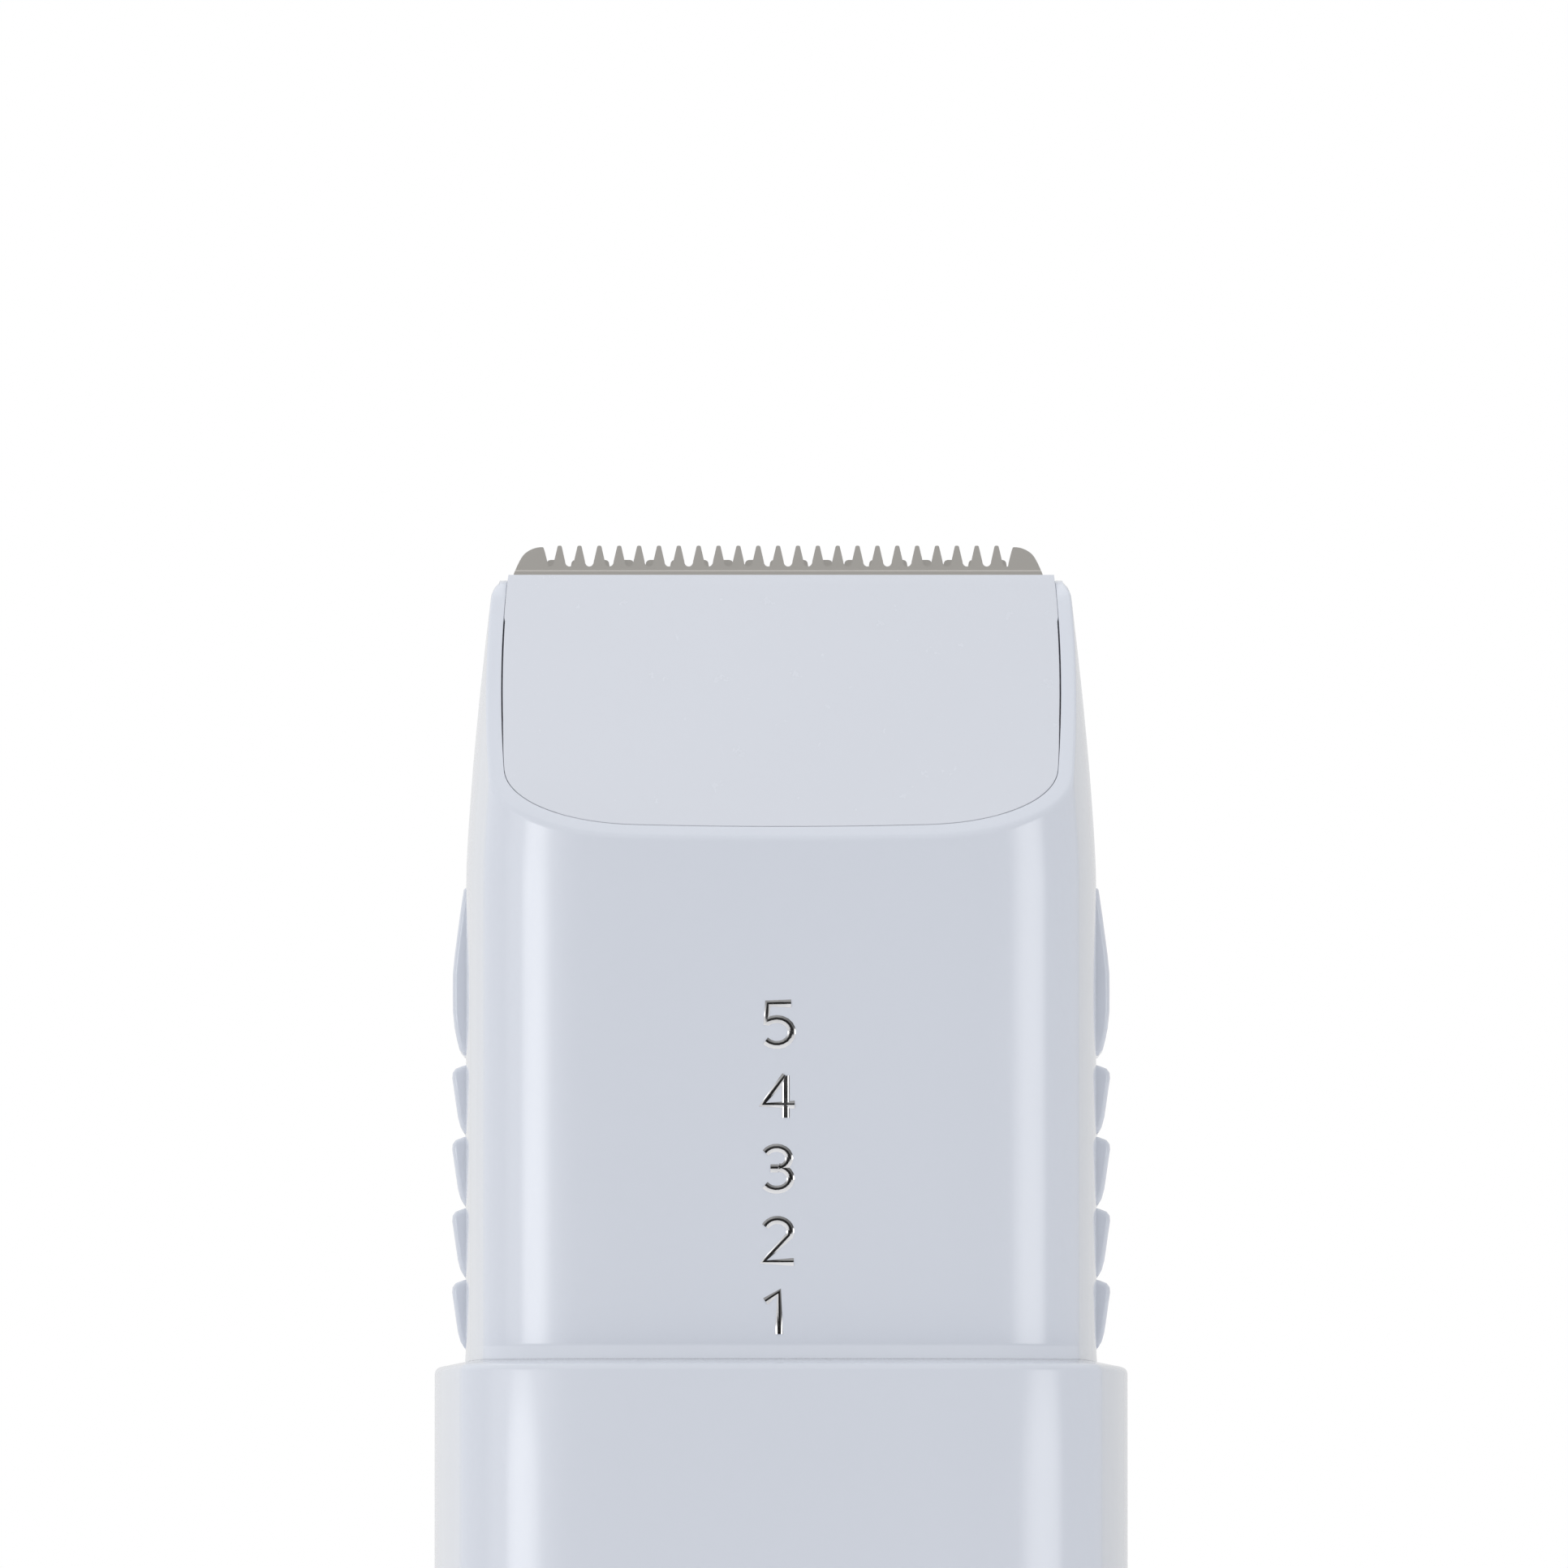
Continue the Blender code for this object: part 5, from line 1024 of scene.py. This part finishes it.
# ---------------------------------------------------------------- blade block


def panel_outline(head, extra=0.0):
    """The panel's outline in x and s, with a tight gap at its foot and a wider one beside its upper part."""
    sizes = housing_sizes()
    gap = sizes.panel_gap + extra
    inset, front_inset = sizes.rim_width + gap, sizes.rim_foot + 0.7 * gap
    z = head.slope_height(inset, 0.0, front_inset)
    x, _ = head.at(z, inset, front_inset)
    s = (z - head.panel_top.z) / head.up.z
    chosen = sorted((pair for pair in zip(x, s) if pair[0] > 0), key=lambda pair: pair[1])
    across, rise = zip(*chosen)
    levels = [rise[0] + step / 59 * (-extra - rise[0]) for step in range(60)]
    turn = rise[0] + 0.9 * MM
    side = [pair for pair in chosen if pair[1] < turn]
    side += [(float(np.interp(level, rise, across)), level) for level in levels if level > turn]
    wider = sizes.side_gap - sizes.panel_gap
    for number, (x, level) in enumerate(side):
        stand = clamp((level + 13.6 * MM) / (3 * MM)) * clamp((-3.3 * MM - level) / (0.1 * MM))
        side[number] = (x - wider * stand, level)
    return [(-x, level) for x, level in reversed(side)] + side


def build_blade_panel():
    """The flat panel, with the blades' pocket behind it and the two stakes that hold the fixed blade."""
    head, blades = Head(), blade_sizes()

    def on_slope(pair, level):
        return head.on_slope(*pair, level)

    levels = [(0.0, -blades.panel_plate)] + [(inset, -drop) for inset, drop in quarter(0.05 * MM, 5)]
    rings = [[on_slope(pair, level) for pair in panel_outline(head, inset)] for inset, level in levels]
    panel = loft("blade_panel_skin", rings, closed=False)
    wide, seat = 20 * MM, -blades.fixed_length - 0.3 * MM
    outline = [(-wide, seat), (wide, seat), (wide, 2 * MM), (-wide, 2 * MM)]
    cut(panel, prism("pocket", outline, on_slope, -3 * MM, -blades.panel_skin))
    parts = [panel]
    shape = ((0.9, -1.78), (1.15, -1.68), (1.2, -1.5), (1.15, -1.3), (0.7, -1.28), (0.7, -0.3))
    for side in (-1, 1):
        spot = (side * (BLADE_HALF - 4.2 * MM), -blades.cutter_length - 2.2 * MM)
        rings = [[on_slope(pair, z * MM) for pair in circle(r * MM, 32, spot)] for r, z in shape]
        parts.append(loft("stake", rings, closed=False))
    panel = joined("blade_panel_skin", parts)
    return settle(panel, BLOCK, panel_plastic(), ("blade_panel",))


def fixed_face(s):
    """How far out the fixed blade's face is at a place up the slope: a low step across its foot."""
    blades = blade_sizes()
    step = clamp((s - CREASE_LOW) / (CREASE_HIGH - CREASE_LOW))
    return -blades.panel_skin - blades.slip / 2 - CREASE_DEPTH * step


def tooth_outline(pitch, root_width, tip_width, foot, tip, valley_rise):
    """One tooth with half a rounded valley on each side, from left to right."""
    valley = (pitch - root_width) / 2
    right = []
    for step in range(7):
        angle = math.radians(90 * step / 6)
        right.append((pitch / 2 - valley * math.sin(angle), foot + valley_rise * (1 - math.cos(angle))))
    corner = 0.28 * tip_width
    right.append((tip_width / 2 + 0.02 * MM, tip - corner))
    right += [(tip_width / 2 - 0.3 * corner, tip - 0.3 * corner), (tip_width / 2 - corner, tip)]
    left = [(-x, s) for x, s in right]
    return left + right[::-1]


def toothed_piece(name, outline, face, back):
    """A tooth as an open-footed shell in the block's own x, s and t."""
    count = len(outline)
    points = [(x, s, back) for x, s in outline] + [(x, s, face(s)) for x, s in outline]
    faces = [(i + 1, i, count + i, count + i + 1) for i in range(count - 1)]
    faces += [tuple(range(count)), tuple(range(2 * count - 1, count - 1, -1))]
    return link(name, mesh_from(name, points, faces))


def blade_plate(name, outline, crest, face, back, creases=()):
    """A plate in x, s and t, left open along its crest, where the teeth are welded on.

    outline runs from the crest's right end round the foot to its left end, and crest runs back again."""
    loop = outline + crest[1:-1]
    count, sides = len(loop), len(outline)
    points = [(x, s, back) for x, s in loop] + [(x, s, face(s)) for x, s in loop]
    faces = [(i, i + 1, count + i + 1, count + i) for i in range(sides - 1)]
    faces += [tuple(range(count)), tuple(range(2 * count - 1, count - 1, -1))]
    mesh = mesh_from(name, points, faces)
    work = bmesh.new()
    work.from_mesh(mesh)
    for crease in creases:
        geometry = work.verts[:] + work.edges[:] + work.faces[:]
        bmesh.ops.bisect_plane(work, geom=geometry, plane_co=(0, crease, 0), plane_no=(0, 1, 0))
    for vertex in work.verts:
        if vertex.co.z > back + 0.01 * MM:
            vertex.co.z = face(vertex.co.y)
    bmesh.ops.recalc_face_normals(work, faces=work.faces[:])
    work.to_mesh(mesh)
    work.free()
    return link(name, mesh)


# How far in from the blade's end, and how high up, in millimetres.
WING_SHAPE = (
    (1.93, 1.36), (1.72, 2.44), (1.64, 2.5), (1.29, 2.46), (0.93, 2.28), (0.57, 1.94), (0.3, 1.31),
    (0.11, 0.72), (0.0, 0.3),
)


def build_fixed_blade():
    """The fixed blade: its plate with a wing at each end, and the teeth welded on between."""
    blades = blade_sizes()
    half, tip = BLADE_HALF - blades.blade_offset, blades.fixed_reach
    foot = tip - blades.tooth_length
    count, pitch = blades.fixed_teeth, blades.fixed_pitch
    first = -(count - 1) / 2 * pitch
    edge = count / 2 * pitch
    back = -blades.panel_skin - blades.slip / 2 - blades.fixed_thickness
    lift = tip - 2.6 * MM
    wing = [(edge, foot), (half - 1.97 * MM, foot)]
    wing += softened([(half - inset * MM, s * MM + lift) for inset, s in WING_SHAPE])
    right = wing + [(half, -blades.fixed_length)]
    outline = [(x, s) for x, s in right] + [(-x, s) for x, s in reversed(right)]
    crest = [(-edge + pitch * step, foot) for step in range(count + 1)]
    plate = blade_plate("fixed_blade_skin", outline, crest, fixed_face, back, (CREASE_LOW, CREASE_HIGH))
    shape = tooth_outline(pitch, blades.root_width, blades.tip_width, foot, tip, 0.38 * MM)
    tooth = toothed_piece("tooth", shape, fixed_face, back)
    start, step = Vector((first, 0, 0)), Vector((pitch, 0, 0))
    repeated(plate, tooth, count, start, step, blade_steel(), weld=TOOTH_WELD)
    finish_blade(plate, -blades.blade_offset)
    return settle(plate, BLOCK, blade_steel(), ("fixed_blade",), angle=18.0)


def finish_blade(plate, shift):
    """Turns a blade from its own x, s and t into place, shifted across, with its faces outwards."""
    plate.data.transform(Matrix.Translation((shift, 0, 0)))
    work = bmesh.new()
    work.from_mesh(plate.data)
    bmesh.ops.recalc_face_normals(work, faces=work.faces[:])
    work.to_mesh(plate.data)
    work.free()
    plate.data.transform(Head().slope_matrix())


def build_moving_blade():
    """The moving blade behind the fixed one, parked off its middle."""
    blades = blade_sizes()
    count, pitch = blades.cutter_teeth, blades.cutter_pitch
    tip, foot = blades.cutter_reach, blades.cutter_reach - 1.2 * MM
    edge = count / 2 * pitch
    top = -blades.panel_skin - 1.5 * blades.slip - blades.fixed_thickness
    back = top - blades.cutter_thickness

    def face(s):
        return top

    right = [(edge, foot), (edge, -blades.cutter_length)]
    outline = right + [(-x, s) for x, s in reversed(right)]
    crest = [(-edge + pitch * step, foot) for step in range(count + 1)]
    plate = blade_plate("moving_blade_skin", outline, crest, face, back)
    shape = tooth_outline(pitch, 0.88 * MM, 0.66 * MM, foot, tip, 0.3 * MM)
    tooth = toothed_piece("tooth", shape, face, back)
    start, step = Vector((-(count - 1) / 2 * pitch, 0, 0)), Vector((pitch, 0, 0))
    repeated(plate, tooth, count, start, step, blade_steel(), weld=TOOTH_WELD)
    finish_blade(plate, (CUTTER_LOW.x + CUTTER_HIGH.x) / 2)
    return settle(plate, CUTTER, blade_steel(), ("moving_blade",), angle=25.0)


# ---------------------------------------------------------------- inner pieces


def paint_inner_pieces():
    """Gives every piece that keeps its own shape the finish of what it is made of."""
    inner = plastic("inner_plastic", tuple(colours().inner), 0.42, 0.06, 0.1, 0.5, 2600.0)
    black = plastic("black_plastic", (0.02, 0.02, 0.022), 0.38, 0.1, 0.15, 0.4, 2200.0)
    rubber = plastic("seal_rubber", (0.018, 0.018, 0.02), 0.68, 0.2, 0.12, 0.8, 3200.0)
    board = plastic("board_green", (0.02, 0.13, 0.05), 0.32, 0.5, 0.2, 0.6, 1300.0)
    red = plastic("lead_red", (0.45, 0.015, 0.012), 0.4, flow=0.1)
    film = plastic("cell_film", tuple(colours().cell), 0.24, 0.15, 0.08, 0.2, 900.0)
    brass = metal("brass", (0.72, 0.52, 0.22), 0.3, streaks=0.15, stretch=(500.0, 500.0, 500.0))
    winding = metal("copper_winding", (0.62, 0.24, 0.1), 0.34, 0.5, (4000.0, 4000.0, 300.0), 1.0)
    ferrite = plastic("ferrite", (0.04, 0.04, 0.045), 0.6, flow=0.3, peel=0.9, grain=2400.0)
    steel = screw_steel()
    plan = {
        inner: ("chassis", "blade_carrier", "block_frame"),
        black: ("motor_end_bell", "drive_cam", "switch_lever", "lead_black"),
        rubber: ("motor_seal", "neck_seal"),
        board: ("circuit_board",),
        red: ("lead_red",),
        film: ("cell_left", "cell_right"),
        brass: ("motor_bushing", "commutator", "terminal_left", "terminal_right"),
        winding: ("armature",),
        ferrite: ("magnet_left", "magnet_right"),
        steel: (
            "motor_can", "motor_shaft", "switch_body", "blade_spring", "cell_spring_left",
            "cell_spring_right", "contact_bridge", "contact_positive", "contact_negative",
            "neck_screw_left", "neck_screw_right",
        ),
    }
    for material, names in plan.items():
        for name in names:
            give_material(frame["nodes"][name], material)


# ---------------------------------------------------------------- stage


def aimed(name, data, place, target):
    """A light or a camera that looks from a place at a target."""
    made = link(name, data)
    made.location = place
    made.rotation_euler = (Vector(target) - Vector(place)).to_track_quat("-Z", "Y").to_euler()
    return made


def toward(tree, aim, direction):
    """How far a direction points towards an aim: 1 when straight at it."""
    values = {0: direction, 1: aim}
    return add(tree, "ShaderNodeVectorMath", values, operation="DOT_PRODUCT").outputs["Value"]


# Azimuth and half angle in degrees, and strength.
SOFT_BOXES = ((-34, 9.5, 2.6), (-38, 24, 0.8), (36, 12, 2.4))
CAMERA_X = 0.16 * MM


def soft_box(tree, direction, azimuth, half_angle, strength):
    """A soft box that only the gloss sees, at an azimuth to the right of the front."""
    angle = math.radians(azimuth)
    near = toward(tree, (math.sin(angle), -math.cos(angle), 0), direction)
    stops = (math.cos(math.radians(half_angle)), 1.0, 0.0, strength)
    return ramp(tree, near, stops, interpolation_type="SMOOTHSTEP")


def studio_world():
    """A white tent: white behind, even light from all round, and soft boxes and a dark front in the gloss."""
    world = bpy.data.worlds.new("studio")
    bpy.context.scene.world = world
    world.use_nodes = True
    tree = world.node_tree
    direction = place_in(tree, "Generated")
    x, y, z = add(tree, "ShaderNodeSeparateXYZ", {0: direction}).outputs
    even = [ramp(tree, x, (-1.0, 1.0, 1.14, 0.78)), ramp(tree, z, (0.0, 1.0, 0.0, 0.06))]
    even = maths(tree, "ADD", *even)
    gloss = ramp(tree, y, (-0.6, 0.3, 0.35, 0.8))
    gloss = maths(tree, "ADD", gloss, ramp(tree, x, (0.0, 0.6, 0.0, -0.3)))
    for azimuth, half_angle, strength in SOFT_BOXES:
        gloss = maths(tree, "ADD", gloss, soft_box(tree, direction, azimuth, half_angle, strength))
    dark_front = ramp(tree, toward(tree, (0, -1, 0), direction), (0.9, 0.965, 1.0, 0.04))
    ray = add(tree, "ShaderNodeLightPath").outputs
    mirrored = mixed(tree, ray["Is Glossy Ray"], even, maths(tree, "MULTIPLY", gloss, dark_front))
    strength = mixed(tree, ray["Is Camera Ray"], mirrored, 1.0)
    feed(tree, {"Color": (1, 1, 1, 1), "Strength": strength}, tree.nodes["Background"].inputs)


def build_stage():
    """The floor, the light from above, the studio round it and the camera."""
    scene = bpy.context.scene
    scene.view_settings.view_transform = "Standard"
    studio_world()
    floor_corners = [(-3, -3, 0), (3, -3, 0), (3, 3, 0), (-3, 3, 0)]
    floor = link("floor", mesh_from("floor", floor_corners, [(0, 1, 2, 3)]))
    pale = plastic("pale_floor", (0.86, 0.86, 0.87), 0.6, flow=0.02, marks=0.02, peel=0.2, grain=60.0)
    floor.data.materials.append(pale)
    light = bpy.data.lights.new("top", "AREA")
    light.shape = "RECTANGLE"
    light.size = light.size_y = 0.5
    light.energy = 0.3
    aimed("top", light, (-0.05, 0.25, 0.9), (0, 0, 0.12))
    camera = bpy.data.cameras.new("camera")
    camera.lens = 616.0
    camera.sensor_width = 36.0
    camera.clip_end = 20.0
    scene.camera = aimed("camera", camera, (CAMERA_X, -1.5, 0.074), (CAMERA_X, 0.0, 0.1346))


# ---------------------------------------------------------------- operators


class CLIPPER_OT_head_shell(bpy.types.Operator):
    """Builds the head shell with its slanted mouth"""

    bl_idname = "clipper.head_shell"
    bl_label = "Head Shell"

    def execute(self, context):
        build_head_shell()
        return {"FINISHED"}


class CLIPPER_OT_comb_racks(bpy.types.Operator):
    """Builds the detent racks on both sides of the neck"""

    bl_idname = "clipper.comb_racks"
    bl_label = "Comb Racks"

    def execute(self, context):
        build_comb_racks()
        return {"FINISHED"}


class CLIPPER_OT_comb_numbers(bpy.types.Operator):
    """Stamps the comb numbers on the neck"""

    bl_idname = "clipper.comb_numbers"
    bl_label = "Comb Numbers"

    def execute(self, context):
        build_comb_numbers()
        return {"FINISHED"}


class CLIPPER_OT_grip_sleeve(bpy.types.Operator):
    """Builds the grip sleeve with its ledge, door opening and slider pocket"""

    bl_idname = "clipper.grip_sleeve"
    bl_label = "Grip Sleeve"

    def execute(self, context):
        build_grip_sleeve()
        return {"FINISHED"}


class CLIPPER_OT_base(bpy.types.Operator):
    """Builds the base cap and its two screws"""

    bl_idname = "clipper.base"
    bl_label = "Base"

    def execute(self, context):
        build_base_cap()
        build_base_screws()
        return {"FINISHED"}


class CLIPPER_OT_cell_door(bpy.types.Operator):
    """Builds the ribbed cell door in the back"""

    bl_idname = "clipper.cell_door"
    bl_label = "Cell Door"

    def execute(self, context):
        build_cell_door()
        return {"FINISHED"}


class CLIPPER_OT_power_slider(bpy.types.Operator):
    """Builds the slide button on the front"""

    bl_idname = "clipper.power_slider"
    bl_label = "Power Slider"

    def execute(self, context):
        build_power_slider()
        return {"FINISHED"}


class CLIPPER_OT_blade_panel(bpy.types.Operator):
    """Builds the flat panel over the blades"""

    bl_idname = "clipper.blade_panel"
    bl_label = "Blade Panel"

    def execute(self, context):
        build_blade_panel()
        return {"FINISHED"}


class CLIPPER_OT_blades(bpy.types.Operator):
    """Builds the fixed and the moving blade"""

    bl_idname = "clipper.blades"
    bl_label = "Blades"

    def execute(self, context):
        build_fixed_blade()
        build_moving_blade()
        return {"FINISHED"}


class CLIPPER_OT_inner_pieces(bpy.types.Operator):
    """Finishes the motor, drive, cells, chassis and wiring"""

    bl_idname = "clipper.inner_pieces"
    bl_label = "Inner Pieces"

    def execute(self, context):
        paint_inner_pieces()
        return {"FINISHED"}


class CLIPPER_OT_stage(bpy.types.Operator):
    """Sets the floor, the studio light and the camera"""

    bl_idname = "clipper.stage"
    bl_label = "Stage"

    def execute(self, context):
        build_stage()
        return {"FINISHED"}


OPERATORS = (
    CLIPPER_OT_stage,
    CLIPPER_OT_head_shell,
    CLIPPER_OT_comb_racks,
    CLIPPER_OT_comb_numbers,
    CLIPPER_OT_grip_sleeve,
    CLIPPER_OT_base,
    CLIPPER_OT_cell_door,
    CLIPPER_OT_power_slider,
    CLIPPER_OT_blade_panel,
    CLIPPER_OT_blades,
    CLIPPER_OT_inner_pieces,
)


class CLIPPER_PT_build(bpy.types.Panel):
    """Lists the clipper's sizes, colours and pieces"""

    bl_label = "Hair Clipper"
    bl_idname = "CLIPPER_PT_build"
    bl_space_type = "VIEW_3D"
    bl_region_type = "UI"
    bl_category = "Clipper"

    def draw(self, context):
        layout = self.layout
        for group in (housing_sizes(), blade_sizes(), colours()):
            box = layout.box()
            for name in group.__annotations__:
                box.prop(group, name)
        for operator in OPERATORS:
            layout.operator(operator.bl_idname)


CLASSES = (ClipperHousingSizes, ClipperBladeSizes, ClipperColours, *OPERATORS, CLIPPER_PT_build)


def register():
    for item in CLASSES:
        bpy.utils.register_class(item)
    bpy.types.Scene.clipper_housing = PointerProperty(type=ClipperHousingSizes)
    bpy.types.Scene.clipper_blades = PointerProperty(type=ClipperBladeSizes)
    bpy.types.Scene.clipper_colours = PointerProperty(type=ClipperColours)


def unregister():
    del bpy.types.Scene.clipper_colours
    del bpy.types.Scene.clipper_blades
    del bpy.types.Scene.clipper_housing
    for item in reversed(CLASSES):
        bpy.utils.unregister_class(item)


def main():
    """Builds the whole clipper with its operators."""
    register()
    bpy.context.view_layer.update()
    for operator in OPERATORS:
        group, name = operator.bl_idname.split(".")
        getattr(getattr(bpy.ops, group), name)()


if __name__ == "__main__":
    main()
